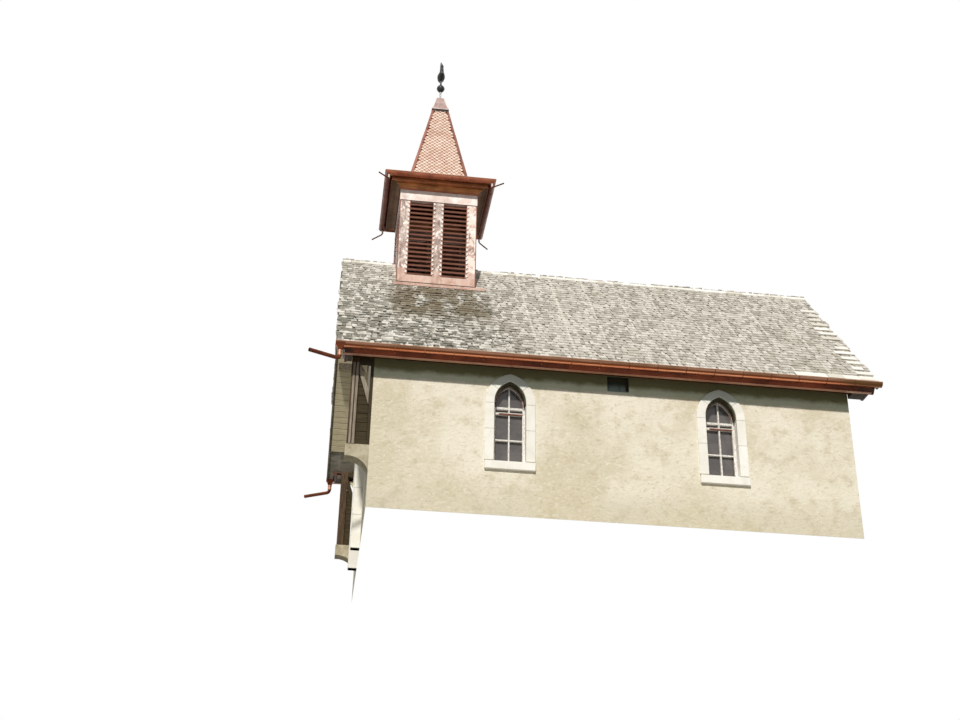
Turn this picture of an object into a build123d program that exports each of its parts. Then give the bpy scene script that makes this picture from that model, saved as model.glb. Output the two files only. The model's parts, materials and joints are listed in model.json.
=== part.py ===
from build123d import *
import math
import os

# A small mountain chapel: a rendered masonry nave under a steep shingled roof,
# with a copper eave cornice and a louvred copper bell turret under a spire.
# Millimetres. X runs along the nave to the east, -Y faces the front, Z is up.
# The origin is the middle of the nave's plan at the foot of its walls.

# Nave walls
nave_length = 9500
nave_width = 6000
wall_thickness = 550
floor_height = 150
bearing_gap = 0.3

# Roof
roof_pitch = 49
ridge_height = 7050
roof_thickness = 100
eave_overhang = 330
west_verge = 740
east_verge = 510
verge_board_thickness = 30
verge_board_drop = 60
ridge_cap_width = 170
ridge_cap_thickness = 28

# Roof timbers
ridge_beam_width = 160
ridge_beam_depth = 220
purlin_width = 160
purlin_depth = 180
purlin_distance = 1500
timber_end_setback = 60

# Windows in the two long walls
window_spacing = 4180
window_width = 620
window_sill = 1100
window_jamb = 1240
window_rise = 445
surround_width = 975
surround_crown = 150
surround_depth = 220
surround_projection = 25
sill_width = 975
sill_height = 190
sill_projection = 60
frame_setback = 150
frame_depth = 60
frame_bar = 45
transom_drop = 75
casement_rail_drop = 190
glazing_bar_rise = 490
glazing_bar_width = 28
glass_thickness = 8

# Vent under the eave of each long wall
vent_offset = 50
vent_width = 430
vent_height = 325
vent_head = 15
vent_setback = 110
vent_frame = 38
vent_frame_depth = 40
vent_panel_thickness = 12

# Door in the west gable
door_width = 1100
door_spring = 1900
door_rise = 650
door_surround = 170
door_surround_depth = 250
door_surround_projection = 30
door_setback = 260
door_thickness = 65
threshold_projection = 180

# Copper eave cornice, its heights taken from its soffit
soffit_seat = 8
soffit_thickness = 25
fascia_drop = 120
fascia_rise = 50
fascia_projection = 372
fascia_inset = 45
fascia_foot_inset = 37
fascia_foot_height = 20
fascia_cove_height = 75
fascia_cove_inset = 6
fascia_cove_radius = 95
cornice_west_offset = 250
cornice_return = 30

# Eave gutter, its outlet funnel and its spout
gutter_radius = 80
gutter_wall = 8
gutter_rim_drop = 10
gutter_end_overhang = 32
funnel_width = 185
funnel_lip = 6
funnel_top_drop = 20
funnel_depth = 80
eave_spout_radius = 38
eave_spout_wall = 4
eave_spout_drop = 180
eave_spout_west = 570
eave_spout_out = 310
eave_spout_fall = 20
eave_spout_bend = 70

# Boarded cheeks of the west end
cheek_depth = 430
post_width = 150
post_depth = 130
inner_post_width = 60
cheek_rail = 90
cheek_height = 1835
cheek_sill_height = 240
corbel_height = 270
cheek_stone_depth = 300
cheek_head_depth = 115
brace_width = 85
brace_fall = 630
board_thickness = 30
board_setback = 50
board_head_gap = 320
cheek_sill_nosing = 20
corbel_setback = 60

# Bell turret
turret_offset = -3460
turret_width = 1730
turret_rise = 1480
turret_panel = 90
stile_width = 208
mullion_width = 215
frieze_height = 273
frieze_thickness = 14
louvre_head = 12
louvre_pitch = 114.4
front_louvres = 17
side_louvres = 9
louvre_angle = 55
louvre_blade = 118
louvre_thickness = 12
louvre_cheek = 14
tooth_depth = 34
tooth_tip = 40
tooth_thickness = 6
flashing_width = 75
flashing_thickness = 12

# Turret cornice and gutter, their heights taken from the top of the walls
turret_cornice_projection = 230
turret_soffit_rise = 120
turret_fascia_height = 118
turret_weathering = 32
turret_cove = 123
turret_bead = 25
turret_step = 20
turret_gutter_radius = 78
turret_gutter_wall = 8
turret_spout_radius = 16
turret_spout_wall = 3
turret_spout_drop = 100
turret_spout_reach = 330
turret_spout_fall = 20
turret_spout_bend = 45

# Spire, finial and weathercock, each height taken from the piece below
spire_width = 1440
spire_height = 3460
spire_shell = 60
spire_cap_depth = 825
spire_cap_height = 420
spire_cap_width = 400
spire_cap_top_width = 180
spire_cap_lip = 40
finial_rod_radius = 20
finial_rod_length = 360
ball_radius = 95
spindle_radius = 10
spindle_seat = 40
spindle_clearance = 1.5
cock_ball_gap = 4
cock_rise = 360
cock_body_length = 400
cock_body_radius = 88
cock_body_girths = ((-0.5, 0.3), (-0.3, 0.8), (0, 1), (0.3, 0.75), (0.5, 0.25))
cock_sleeve_radius = 22
cock_neck_width = 124
cock_neck_length = 200
cock_neck_rise = 190
cock_neck_top_width = 64
cock_neck_top_length = 72
cock_head_radius = 40
cock_comb_radius = 18
cock_comb_pitch = 24
cock_comb_points = 4
cock_comb_thickness = 14
cock_beak_length = 76
cock_beak_height = 32
cock_wattle_radius = 18
cock_tail_rise = 600
cock_tail_reach = 190
cock_tail_root = 45
cock_tail_thickness = 26
cock_sickle_shares = (1, 0.78, 0.56)

# Places that follow from the driving sizes
half_length = nave_length / 2
half_width = nave_width / 2
slope = math.tan(math.radians(roof_pitch))
roof_drop = roof_thickness / math.cos(math.radians(roof_pitch))
west_end = -half_length - west_verge
east_end = half_length + east_verge
eave_y = half_width + eave_overhang
half_turret = turret_width / 2
bay_width = half_turret - stile_width - mullion_width / 2
bay_centre = mullion_width / 2 + bay_width / 2
parts_folder = "parts"


def roof_surface(distance):
    """Height of the shingles at a distance from the ridge line."""
    return ridge_height - distance * slope


def roof_underside(distance):
    """Height of the roof boards' lower face at a distance from the ridge line."""
    return roof_surface(distance) - roof_drop


# Heights, each taken from the piece that carries it
soffit_height = roof_underside(eave_y) + soffit_seat
fascia_bottom = soffit_height - fascia_drop
fascia_top = soffit_height + fascia_rise
gutter_rim = fascia_top - gutter_rim_drop
window_spring = window_sill + window_jamb
window_apex = window_spring + window_rise
surround_apex = window_apex + surround_crown
transom_height = window_spring - transom_drop
casement_rail_height = window_spring - casement_rail_drop
glazing_bar_height = window_sill + glazing_bar_rise
vent_centre = soffit_height - vent_head - vent_height / 2
door_apex = door_spring + door_rise
turret_top = ridge_height + turret_rise
frieze_bottom = turret_top - frieze_height
louvre_top = frieze_bottom - louvre_head
turret_soffit = turret_top + turret_soffit_rise
turret_gutter_rim = turret_soffit + turret_fascia_height
turret_cornice_top = turret_gutter_rim + turret_weathering
spire_cap_bottom = turret_cornice_top + spire_height - spire_cap_depth
spire_cap_top = spire_cap_bottom + spire_cap_height
ball_height = spire_cap_top + finial_rod_length
cock_body_height = ball_height + cock_rise
spindle_top = cock_body_height + spindle_seat


def save(part, name):
    part.label = name
    export_step(part, os.path.join(parts_folder, name + ".step"))


def pointed_opening(width, bottom, spring, apex):
    """The face of a two-centred pointed arch on straight jambs."""
    half = width / 2
    rise = apex - spring
    radius = (half**2 + rise**2) / width
    reach = radius - half
    turn = math.atan2(rise, reach) / 2
    shoulder_x = radius * math.cos(turn) - reach
    shoulder_z = spring + radius * math.sin(turn)
    with BuildSketch() as opening:
        with BuildLine():
            Polyline((-half, spring), (-half, bottom), (half, bottom), (half, spring))
            ThreePointArc((half, spring), (shoulder_x, shoulder_z), (0, apex))
            ThreePointArc((0, apex), (-shoulder_x, shoulder_z), (-half, spring))
        make_face()
    return opening.sketch


def window_places():
    return Locations((-window_spacing / 2, 0), (window_spacing / 2, 0))


def front_plane(depth):
    """The plane at a depth behind the front wall's face, facing the front."""
    return Plane.XZ.offset(half_width - depth)


def west_plane(depth):
    """The plane at a depth behind the west gable's face, facing the west."""
    return Plane(origin=(-half_length + depth, 0, 0), x_dir=(0, -1, 0), z_dir=(-1, 0, 0))


os.makedirs(parts_folder, exist_ok=True)

window_opening = pointed_opening(window_width, window_sill, window_spring, window_apex)
surround_outline = pointed_opening(surround_width, window_sill, window_spring, surround_apex)


# Front wall: its top follows the roof boards, and its openings are cut through
with BuildPart() as front_wall:
    inner_y = half_width - wall_thickness
    with BuildSketch(Plane.YZ.offset(-half_length)):
        with BuildLine():
            Polyline(
                (-half_width, 0),
                (-inner_y, 0),
                (-inner_y, roof_underside(inner_y) - bearing_gap),
                (-half_width, roof_underside(half_width) - bearing_gap),
                close=True,
            )
        make_face()
    extrude(amount=nave_length)
    with BuildSketch(front_plane(0)):
        with window_places():
            add(window_opening)
        with Locations((vent_offset, vent_centre)):
            Rectangle(vent_width, vent_height)
    extrude(amount=-wall_thickness, mode=Mode.SUBTRACT)
    with BuildSketch(front_plane(0)):
        with window_places():
            add(surround_outline)
            with Locations((0, window_sill - sill_height / 2)):
                Rectangle(sill_width, sill_height)
    extrude(amount=-surround_depth, mode=Mode.SUBTRACT)

with BuildPart() as back_wall:
    mirror(front_wall.part, about=Plane.XZ)

save(front_wall.part, "front_wall")
save(back_wall.part, "back_wall")


# Window surrounds: dressed stone arches, each standing on its sill
with BuildPart() as front_surrounds:
    with BuildSketch(front_plane(-surround_projection)):
        with window_places():
            add(surround_outline)
            add(window_opening, mode=Mode.SUBTRACT)
    extrude(amount=-surround_depth - surround_projection)
    with BuildSketch(front_plane(-sill_projection)):
        with window_places():
            with Locations((0, window_sill - sill_height / 2)):
                Rectangle(sill_width, sill_height)
    extrude(amount=-surround_depth - sill_projection)

with BuildPart() as back_surrounds:
    mirror(front_surrounds.part, about=Plane.XZ)

save(front_surrounds.part, "front_window_surrounds")
save(back_surrounds.part, "back_window_surrounds")


# Window frames: an arched timber ring with a transom, mullion and glazing bar
frame_outline = pointed_opening(
    window_width - 2 * bearing_gap,
    window_sill + bearing_gap,
    window_spring,
    window_apex - bearing_gap,
)
frame_light = pointed_opening(
    window_width - 2 * frame_bar,
    window_sill + frame_bar,
    window_spring,
    window_apex - frame_bar * (window_apex - window_spring) / (window_width / 2),
)

with BuildPart() as front_frames:
    with BuildSketch(front_plane(frame_setback)):
        with window_places():
            add(frame_outline)
            add(frame_light, mode=Mode.SUBTRACT)
            for height, depth in (
                (transom_height, frame_bar),
                (casement_rail_height, frame_bar),
                (glazing_bar_height, glazing_bar_width),
            ):
                with Locations((0, height)):
                    Rectangle(window_width - frame_bar, depth)
            with Locations((0, window_sill + frame_bar / 2)):
                Rectangle(
                    glazing_bar_width,
                    window_apex - window_sill - 2 * frame_bar,
                    align=(Align.CENTER, Align.MIN),
                )
    extrude(amount=-frame_depth)

with BuildPart() as back_frames:
    mirror(front_frames.part, about=Plane.XZ)

save(front_frames.part, "front_window_frames")
save(back_frames.part, "back_window_frames")


# Glass: one pane bedded on the back of each frame
with BuildPart() as front_glass:
    with BuildSketch(front_plane(frame_setback + frame_depth + bearing_gap)):
        with window_places():
            add(frame_outline)
    extrude(amount=-glass_thickness)

with BuildPart() as back_glass:
    mirror(front_glass.part, about=Plane.XZ)

save(front_glass.part, "front_window_glass")
save(back_glass.part, "back_window_glass")


# Vents: a framed two-part panel set back in a square hole under each eave
with BuildPart() as front_vent:
    with BuildSketch(front_plane(vent_setback)):
        with Locations((vent_offset, vent_centre)):
            Rectangle(vent_width - 2 * bearing_gap, vent_height - 2 * bearing_gap)
            Rectangle(
                vent_width - 2 * vent_frame,
                vent_height - 2 * vent_frame,
                mode=Mode.SUBTRACT,
            )
            Rectangle(vent_frame, vent_height - vent_frame)
    extrude(amount=-vent_frame_depth)
    with BuildSketch(front_plane(vent_setback + vent_frame_depth - vent_panel_thickness)):
        with Locations((vent_offset, vent_centre)):
            Rectangle(vent_width - vent_frame, vent_height - vent_frame)
    extrude(amount=-vent_panel_thickness)

with BuildPart() as vent_panels:
    add(front_vent.part)
    mirror(front_vent.part, about=Plane.XZ)

save(vent_panels.part, "vent_panels")


# Roof timbers: a ridge beam and two purlins that carry both gable overhangs
def timber_sections(margin):
    """The ridge beam and purlins in cross section, with a margin all round."""
    pitch = math.radians(roof_pitch)
    beam_top = roof_underside(0) - bearing_gap
    beam_foot = beam_top - ridge_beam_depth - margin
    half_beam = ridge_beam_width / 2 + margin
    sink = purlin_depth / 2 + bearing_gap
    purlin_y = purlin_distance - sink * math.sin(pitch)
    purlin_z = roof_underside(purlin_distance) - sink * math.cos(pitch)
    with BuildSketch() as sections:
        with BuildLine():
            Polyline(
                (0, beam_top + margin),
                (-half_beam, beam_top + margin - half_beam * slope),
                (-half_beam, beam_foot),
                (half_beam, beam_foot),
                (half_beam, beam_top + margin - half_beam * slope),
                close=True,
            )
        make_face()
        with Locations((-purlin_y, purlin_z)):
            Rectangle(purlin_width + 2 * margin, purlin_depth + 2 * margin, rotation=roof_pitch)
        with Locations((purlin_y, purlin_z)):
            Rectangle(purlin_width + 2 * margin, purlin_depth + 2 * margin, rotation=-roof_pitch)
    return sections.sketch


with BuildPart() as roof_timbers:
    with BuildSketch(Plane.YZ.offset(west_end + timber_end_setback)):
        add(timber_sections(0))
    extrude(amount=east_end - west_end - 2 * timber_end_setback)

save(roof_timbers.part, "roof_timbers")


# Gable walls: they stand between the long walls and are pocketed for the timbers
def gable_outline():
    inner_y = half_width - wall_thickness
    eave_z = roof_underside(inner_y) - bearing_gap
    ridge_z = roof_underside(0) - bearing_gap
    with BuildSketch() as outline:
        with BuildLine():
            Polyline(
                (-inner_y, 0), (inner_y, 0), (inner_y, eave_z), (0, ridge_z), (-inner_y, eave_z),
                close=True,
            )
        make_face()
        add(timber_sections(bearing_gap), mode=Mode.SUBTRACT)
    return outline.sketch


door_opening = pointed_opening(door_width, 0, door_spring, door_apex)
door_surround_outline = pointed_opening(
    door_width + 2 * door_surround,
    0,
    door_spring,
    door_apex + door_surround,
)

with BuildPart() as west_gable_wall:
    with BuildSketch(Plane.YZ.offset(-half_length)):
        add(gable_outline())
    extrude(amount=wall_thickness)
    with BuildSketch(west_plane(0)):
        add(door_opening)
    extrude(amount=-wall_thickness, mode=Mode.SUBTRACT)
    with BuildSketch(west_plane(0)):
        add(door_surround_outline)
    extrude(amount=-door_surround_depth, mode=Mode.SUBTRACT)

with BuildPart() as east_gable_wall:
    with BuildSketch(Plane.YZ.offset(half_length)):
        add(gable_outline())
    extrude(amount=-wall_thickness)

save(west_gable_wall.part, "west_gable_wall")
save(east_gable_wall.part, "east_gable_wall")


# Floor: a stone slab between the walls
with BuildPart() as floor_slab:
    with BuildSketch():
        Rectangle(nave_length - 2 * wall_thickness, nave_width - 2 * wall_thickness)
    extrude(amount=floor_height)

save(floor_slab.part, "floor_slab")


# Door: a pointed stone surround with its threshold, and a plank leaf
with BuildPart() as door_stone:
    with BuildSketch(west_plane(-door_surround_projection)):
        add(door_surround_outline)
        add(door_opening, mode=Mode.SUBTRACT)
    extrude(amount=-door_surround_depth - door_surround_projection)
    with BuildSketch(west_plane(-threshold_projection)):
        Rectangle(door_width, floor_height, align=(Align.CENTER, Align.MIN))
    extrude(amount=-wall_thickness - threshold_projection)

save(door_stone.part, "door_surround")

with BuildPart() as door_leaf:
    with BuildSketch(west_plane(door_setback)):
        add(
            pointed_opening(
                door_width - 2 * bearing_gap,
                floor_height,
                door_spring,
                door_apex - bearing_gap,
            )
        )
    extrude(amount=-door_thickness)

save(door_leaf.part, "door_leaf")


# Roof slopes: boards and shingles as one slab each, meeting at the ridge
with BuildPart() as roof_front_slope:
    with BuildSketch(Plane.YZ.offset(west_end)):
        with BuildLine():
            Polyline(
                (0, roof_surface(0)),
                (-eave_y, roof_surface(eave_y)),
                (-eave_y, roof_underside(eave_y)),
                (0, roof_underside(0)),
                close=True,
            )
        make_face()
    extrude(amount=east_end - west_end)

with BuildPart() as roof_back_slope:
    mirror(roof_front_slope.part, about=Plane.XZ)

save(roof_front_slope.part, "roof_front_slope")
save(roof_back_slope.part, "roof_back_slope")


def gable_band(reach, top_rise, bottom_rise):
    """A band along both slopes, between two heights over the shingles."""
    with BuildSketch() as band:
        with BuildLine():
            Polyline(
                (0, roof_surface(0) + top_rise),
                (-reach, roof_surface(reach) + top_rise),
                (-reach, roof_surface(reach) + bottom_rise),
                (0, roof_surface(0) + bottom_rise),
                (reach, roof_surface(reach) + bottom_rise),
                (reach, roof_surface(reach) + top_rise),
                close=True,
            )
        make_face()
    return band.sketch


# Verge boards: one bent board closes the roof's edge at each gable
with BuildPart() as west_verge_board:
    with BuildSketch(Plane.YZ.offset(west_end)):
        add(gable_band(eave_y, 0, -roof_drop - verge_board_drop))
    extrude(amount=-verge_board_thickness)

with BuildPart() as east_verge_board:
    with BuildSketch(Plane.YZ.offset(east_end)):
        add(gable_band(eave_y, 0, -roof_drop - verge_board_drop))
    extrude(amount=verge_board_thickness)

save(west_verge_board.part, "west_verge_board")
save(east_verge_board.part, "east_verge_board")


# Ridge caps: bent boards on the ridge, west and east of the turret
ridge_cap_reach = ridge_cap_width * math.cos(math.radians(roof_pitch))
ridge_cap_rise = ridge_cap_thickness / math.cos(math.radians(roof_pitch))
turret_west = turret_offset - half_turret - flashing_width
turret_east = turret_offset + half_turret + flashing_width

with BuildPart() as ridge_caps:
    for start, end in ((west_end, turret_west), (turret_east, east_end)):
        with BuildSketch(Plane.YZ.offset(start)):
            add(gable_band(ridge_cap_reach, ridge_cap_rise, 0))
        extrude(amount=end - start)

save(ridge_caps.part, "ridge_caps")


# Eave cornice: a copper-clad soffit and moulded fascia, mitred round both ends
cornice_west = -half_length - cornice_west_offset
fascia_back = eave_overhang - fascia_inset
cove_foot = (fascia_projection - fascia_foot_inset, fascia_bottom + fascia_foot_height)
cove_top = (fascia_projection - fascia_cove_inset, cove_foot[1] + fascia_cove_height)
clear_y = eave_y + bearing_gap

with BuildPart() as front_cornice:
    with BuildLine() as cornice_path:
        Polyline(
            (cornice_west, -half_width + cornice_return, 0),
            (cornice_west, -half_width, 0),
            (half_length, -half_width, 0),
            (half_length, -half_width + cornice_return, 0),
        )
    cornice_start = Plane(
        origin=(cornice_west, -half_width + cornice_return, 0),
        x_dir=(-1, 0, 0),
        z_dir=(0, 1, 0),
    )
    with BuildSketch(cornice_start) as cornice_profile:
        with BuildLine():
            Polyline(
                cove_top,
                (fascia_projection, cove_top[1]),
                (fascia_projection, fascia_top),
                (fascia_back, fascia_top),
                (fascia_back, soffit_height + soffit_thickness),
                (bearing_gap, soffit_height + soffit_thickness),
                (bearing_gap, soffit_height),
                (fascia_back, soffit_height),
                (fascia_back, fascia_bottom),
                (cove_foot[0], fascia_bottom),
                cove_foot,
            )
            RadiusArc(cove_foot, cove_top, fascia_cove_radius)
        make_face()
    sweep(path=cornice_path.wires()[0], transition=Transition.RIGHT)
    with BuildSketch(Plane.YZ.offset(west_end - verge_board_thickness)):
        with BuildLine():
            Polyline(
                (0, roof_surface(0)),
                (-clear_y, roof_surface(clear_y) + roof_drop),
                (-clear_y, roof_underside(clear_y) - bearing_gap),
                (0, roof_underside(0) - bearing_gap),
                close=True,
            )
        make_face()
    extrude(amount=east_end - west_end + 2 * verge_board_thickness, mode=Mode.SUBTRACT)

with BuildPart() as back_cornice:
    mirror(front_cornice.part, about=Plane.XZ)

save(front_cornice.part, "front_eave_cornice")
save(back_cornice.part, "back_eave_cornice")


# Eave gutters: half-round troughs with closed ends, against the fascias
gutter_y = half_width + fascia_projection + bearing_gap + gutter_radius
gutter_west = west_end - gutter_end_overhang
gutter_east = east_end + gutter_end_overhang

with BuildPart() as front_gutter:
    with BuildSketch(Plane.YZ.offset(gutter_west)):
        with Locations((-gutter_y, gutter_rim)):
            Circle(gutter_radius)
            Rectangle(
                2 * gutter_radius, gutter_radius,
                align=(Align.CENTER, Align.MIN), mode=Mode.SUBTRACT,
            )
    extrude(amount=gutter_east - gutter_west)
    with BuildSketch(Plane.YZ.offset(gutter_west + gutter_wall)):
        with Locations((-gutter_y, gutter_rim)):
            Circle(gutter_radius - gutter_wall)
    extrude(amount=gutter_east - gutter_west - 2 * gutter_wall, mode=Mode.SUBTRACT)

with BuildPart() as back_gutter:
    mirror(front_gutter.part, about=Plane.XZ)

save(front_gutter.part, "front_gutter")
save(back_gutter.part, "back_gutter")


# Eave spouts: a funnel saddled on each gutter's west end, and a pipe with an
# elbow below it that throws the water clear of the wall
funnel_y = gutter_y + funnel_lip / 2
funnel_span = 2 * gutter_radius + funnel_lip
funnel_x = gutter_west + funnel_width / 2
funnel_foot = gutter_rim - gutter_radius - funnel_depth
spout_low = funnel_foot - eave_spout_drop

with BuildPart() as eave_spouts:
    with BuildSketch(Plane.XY.offset(gutter_rim - funnel_top_drop)):
        with Locations((funnel_x, -funnel_y)):
            Rectangle(funnel_width, funnel_span)
    with BuildSketch(Plane.XY.offset(funnel_foot)):
        with Locations((funnel_x, -funnel_y)):
            Rectangle(2 * eave_spout_radius, 2 * eave_spout_radius)
    loft()
    with BuildSketch(Plane.YZ.offset(gutter_west - gutter_end_overhang)):
        with Locations((-gutter_y, gutter_rim)):
            Circle(gutter_radius + bearing_gap)
    extrude(amount=funnel_width + 2 * gutter_end_overhang, mode=Mode.SUBTRACT)
    with BuildLine() as spout_path:
        FilletPolyline(
            (funnel_x, -funnel_y, funnel_foot),
            (funnel_x, -funnel_y, spout_low),
            (
                funnel_x - eave_spout_west,
                -funnel_y - eave_spout_out,
                spout_low - eave_spout_fall,
            ),
            radius=eave_spout_bend,
        )
    with BuildSketch(Plane.XY.offset(funnel_foot)):
        with Locations((funnel_x, -funnel_y)):
            Circle(eave_spout_radius)
            Circle(eave_spout_radius - eave_spout_wall, mode=Mode.SUBTRACT)
    sweep(path=spout_path.wires()[0])
    mirror(about=Plane.XZ)

save(eave_spouts.part, "eave_spouts")


# Boarded cheeks of the west end: post, rails and brace, with boards between
cheek_west = -half_length - cheek_depth
cheek_east = -half_length
post_face = cheek_west + post_width
inner_post_face = cheek_east - inner_post_width
cheek_top = soffit_height - bearing_gap
cheek_sill_top = soffit_height - cheek_height
cheek_head = cheek_top - cheek_head_depth
brace_foot = cheek_head - brace_fall
board_top = cheek_head - board_head_gap
brace_run = inner_post_face - post_face
brace_drop = brace_width * math.hypot(brace_run, brace_fall) / brace_run

with BuildPart() as front_cheek_frame:
    with BuildSketch(Plane.XZ.offset(half_width)):
        with Locations((cheek_west, cheek_sill_top)):
            Rectangle(post_width, cheek_top - cheek_sill_top, align=(Align.MIN, Align.MIN))
        with Locations((inner_post_face, cheek_sill_top)):
            Rectangle(inner_post_width, cheek_top - cheek_sill_top, align=(Align.MIN, Align.MIN))
        with Locations((cheek_west, cheek_sill_top)):
            Rectangle(cheek_depth, cheek_rail, align=(Align.MIN, Align.MIN))
        with Locations((cheek_west, cheek_head)):
            Rectangle(cheek_depth, cheek_head_depth, align=(Align.MIN, Align.MIN))
        with BuildLine():
            Polyline(
                (post_face, cheek_head),
                (post_face, cheek_head - brace_drop),
                (inner_post_face, brace_foot - brace_drop),
                (inner_post_face, brace_foot),
                close=True,
            )
        make_face()
    extrude(amount=-post_depth)

with BuildPart() as back_cheek_frame:
    mirror(front_cheek_frame.part, about=Plane.XZ)

save(front_cheek_frame.part, "front_cheek_frame")
save(back_cheek_frame.part, "back_cheek_frame")

board_shoulder = post_face + (board_head_gap - brace_drop) * brace_run / brace_fall

with BuildPart() as front_cheek_boards:
    with BuildSketch(Plane.XZ.offset(half_width - board_setback)):
        with BuildLine():
            Polyline(
                (post_face, cheek_sill_top + cheek_rail),
                (inner_post_face, cheek_sill_top + cheek_rail),
                (inner_post_face, brace_foot - brace_drop),
                (board_shoulder, board_top),
                (post_face, board_top),
                close=True,
            )
        make_face()
    extrude(amount=-board_thickness)

with BuildPart() as back_cheek_boards:
    mirror(front_cheek_boards.part, about=Plane.XZ)

save(front_cheek_boards.part, "front_cheek_boards")
save(back_cheek_boards.part, "back_cheek_boards")


# Cheek stones: a sill on a curved corbel that grows out of the gable wall
with BuildPart() as front_cheek_stone:
    sill_edge = cheek_west - cheek_sill_nosing
    sill_bottom = cheek_sill_top - cheek_sill_height
    corbel_bottom = sill_bottom - corbel_height
    corbel_edge = cheek_west + corbel_setback
    with BuildSketch(Plane.XZ.offset(half_width)):
        with BuildLine():
            Polyline(
                (cheek_east, corbel_bottom),
                (cheek_east, cheek_sill_top),
                (sill_edge, cheek_sill_top),
                (sill_edge, sill_bottom),
                (corbel_edge, sill_bottom),
            )
            RadiusArc(
                (corbel_edge, sill_bottom),
                (cheek_east, corbel_bottom),
                cheek_depth,
            )
        make_face()
    extrude(amount=-cheek_stone_depth)

with BuildPart() as back_cheek_stone:
    mirror(front_cheek_stone.part, about=Plane.XZ)

save(front_cheek_stone.part, "front_cheek_stone")
save(back_cheek_stone.part, "back_cheek_stone")


# Turret walls: copper-clad panels that sit on the roof and hold louvre bays
turret_foot = roof_surface(half_turret)
turret_middle = Location((turret_offset, 0, 0))
turret_reach = half_turret + 2 * flashing_width

with BuildPart() as roof_block:
    with BuildSketch(Plane.YZ.offset(turret_offset - turret_reach)):
        add(gable_band(turret_reach, bearing_gap, -turret_width))
    extrude(amount=2 * turret_reach)


def louvre_height(count):
    return count * louvre_pitch


with BuildPart() as turret_front_wall:
    with BuildSketch(Plane.XZ.offset(half_turret)):
        with Locations((turret_offset, turret_foot)):
            Rectangle(turret_width, turret_top - turret_foot, align=(Align.CENTER, Align.MIN))
        with Locations(
            (turret_offset - bay_centre, louvre_top), (turret_offset + bay_centre, louvre_top)
        ):
            Rectangle(
                bay_width, louvre_height(front_louvres),
                align=(Align.CENTER, Align.MAX), mode=Mode.SUBTRACT,
            )
    extrude(amount=-turret_panel)
    add(roof_block.part, mode=Mode.SUBTRACT)

with BuildPart() as turret_back_wall:
    mirror(turret_front_wall.part, about=Plane.XZ)

with BuildPart() as turret_west_wall:
    with BuildSketch(Plane.YZ.offset(turret_offset - half_turret)):
        with Locations((0, turret_foot)):
            Rectangle(
                turret_width - 2 * turret_panel, turret_top - turret_foot,
                align=(Align.CENTER, Align.MIN),
            )
        with Locations((-bay_centre, louvre_top), (bay_centre, louvre_top)):
            Rectangle(
                bay_width, louvre_height(side_louvres),
                align=(Align.CENTER, Align.MAX), mode=Mode.SUBTRACT,
            )
    extrude(amount=turret_panel)
    add(roof_block.part, mode=Mode.SUBTRACT)

with BuildPart() as turret_east_wall:
    mirror(turret_west_wall.part, about=Plane.YZ.offset(turret_offset))

save(turret_front_wall.part, "turret_front_wall")
save(turret_back_wall.part, "turret_back_wall")
save(turret_west_wall.part, "turret_west_wall")
save(turret_east_wall.part, "turret_east_wall")


# Louvres: sloping blades between two cheeks, with a saw-tooth copper edge
# that follows the blades up each side of the bay
def louvre_bay(count):
    """One bay, its outer face on the XZ plane and its top at Z 0."""
    height = louvre_height(count)
    inner_width = bay_width - 2 * bearing_gap
    edge = inner_width / 2
    with BuildPart() as bay:
        with BuildSketch(Plane.XZ):
            with Locations((-edge, 0), (edge - louvre_cheek, 0)):
                Rectangle(louvre_cheek, height - 2 * bearing_gap, align=(Align.MIN, Align.MAX))
        extrude(amount=-turret_panel)
        with Locations(
            *[
                Location((0, turret_panel / 2, -(row + 0.5) * louvre_pitch), (louvre_angle, 0, 0))
                for row in range(count)
            ]
        ):
            Box(inner_width - louvre_cheek, louvre_blade, louvre_thickness)
        with BuildSketch(Plane.XZ):
            for side in (-1, 1):
                corners = [(side * (edge - louvre_cheek), -bearing_gap)]
                for row in range(count):
                    top = -row * louvre_pitch - bearing_gap
                    corners.append((side * edge, top))
                    corners.append((side * (edge + tooth_depth), top - tooth_tip))
                corners.append((side * edge, -height + bearing_gap))
                corners.append((side * (edge - louvre_cheek), -height + bearing_gap))
                with BuildLine():
                    Polyline(*corners, close=True)
                make_face()
        extrude(amount=tooth_thickness)
    return bay.part


def turret_face(angle):
    """The places of the two bays of the turret face turned by an angle."""
    places = []
    for side in (-1, 1):
        bay_place = Location((side * bay_centre, -half_turret, louvre_top))
        places.append(turret_middle * Location((0, 0, 0), (0, 0, angle)) * bay_place)
    return Locations(*places)


tall_bay = louvre_bay(front_louvres)
short_bay = louvre_bay(side_louvres)

with BuildPart() as front_louvre_bays:
    with turret_face(0):
        add(tall_bay)

with BuildPart() as back_louvre_bays:
    with turret_face(180):
        add(tall_bay)

with BuildPart() as side_louvre_bays:
    with turret_face(-90):
        add(short_bay)
    with turret_face(90):
        add(short_bay)

save(front_louvre_bays.part, "turret_front_louvres")
save(back_louvre_bays.part, "turret_back_louvres")
save(side_louvre_bays.part, "turret_side_louvres")


# Turret flashing: a copper skirt on the shingles round the turret's foot
with BuildPart() as turret_flashing:
    with BuildSketch(Plane.YZ.offset(turret_west)):
        add(gable_band(half_turret + flashing_width, flashing_thickness, bearing_gap))
    extrude(amount=turret_east - turret_west)
    with BuildSketch(Plane.XY.offset(turret_foot - turret_width)):
        with Locations((turret_offset, 0)):
            Rectangle(turret_width + 2 * bearing_gap, turret_width + 2 * bearing_gap)
    extrude(amount=2 * turret_width, mode=Mode.SUBTRACT)

save(turret_flashing.part, "turret_flashing")


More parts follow.
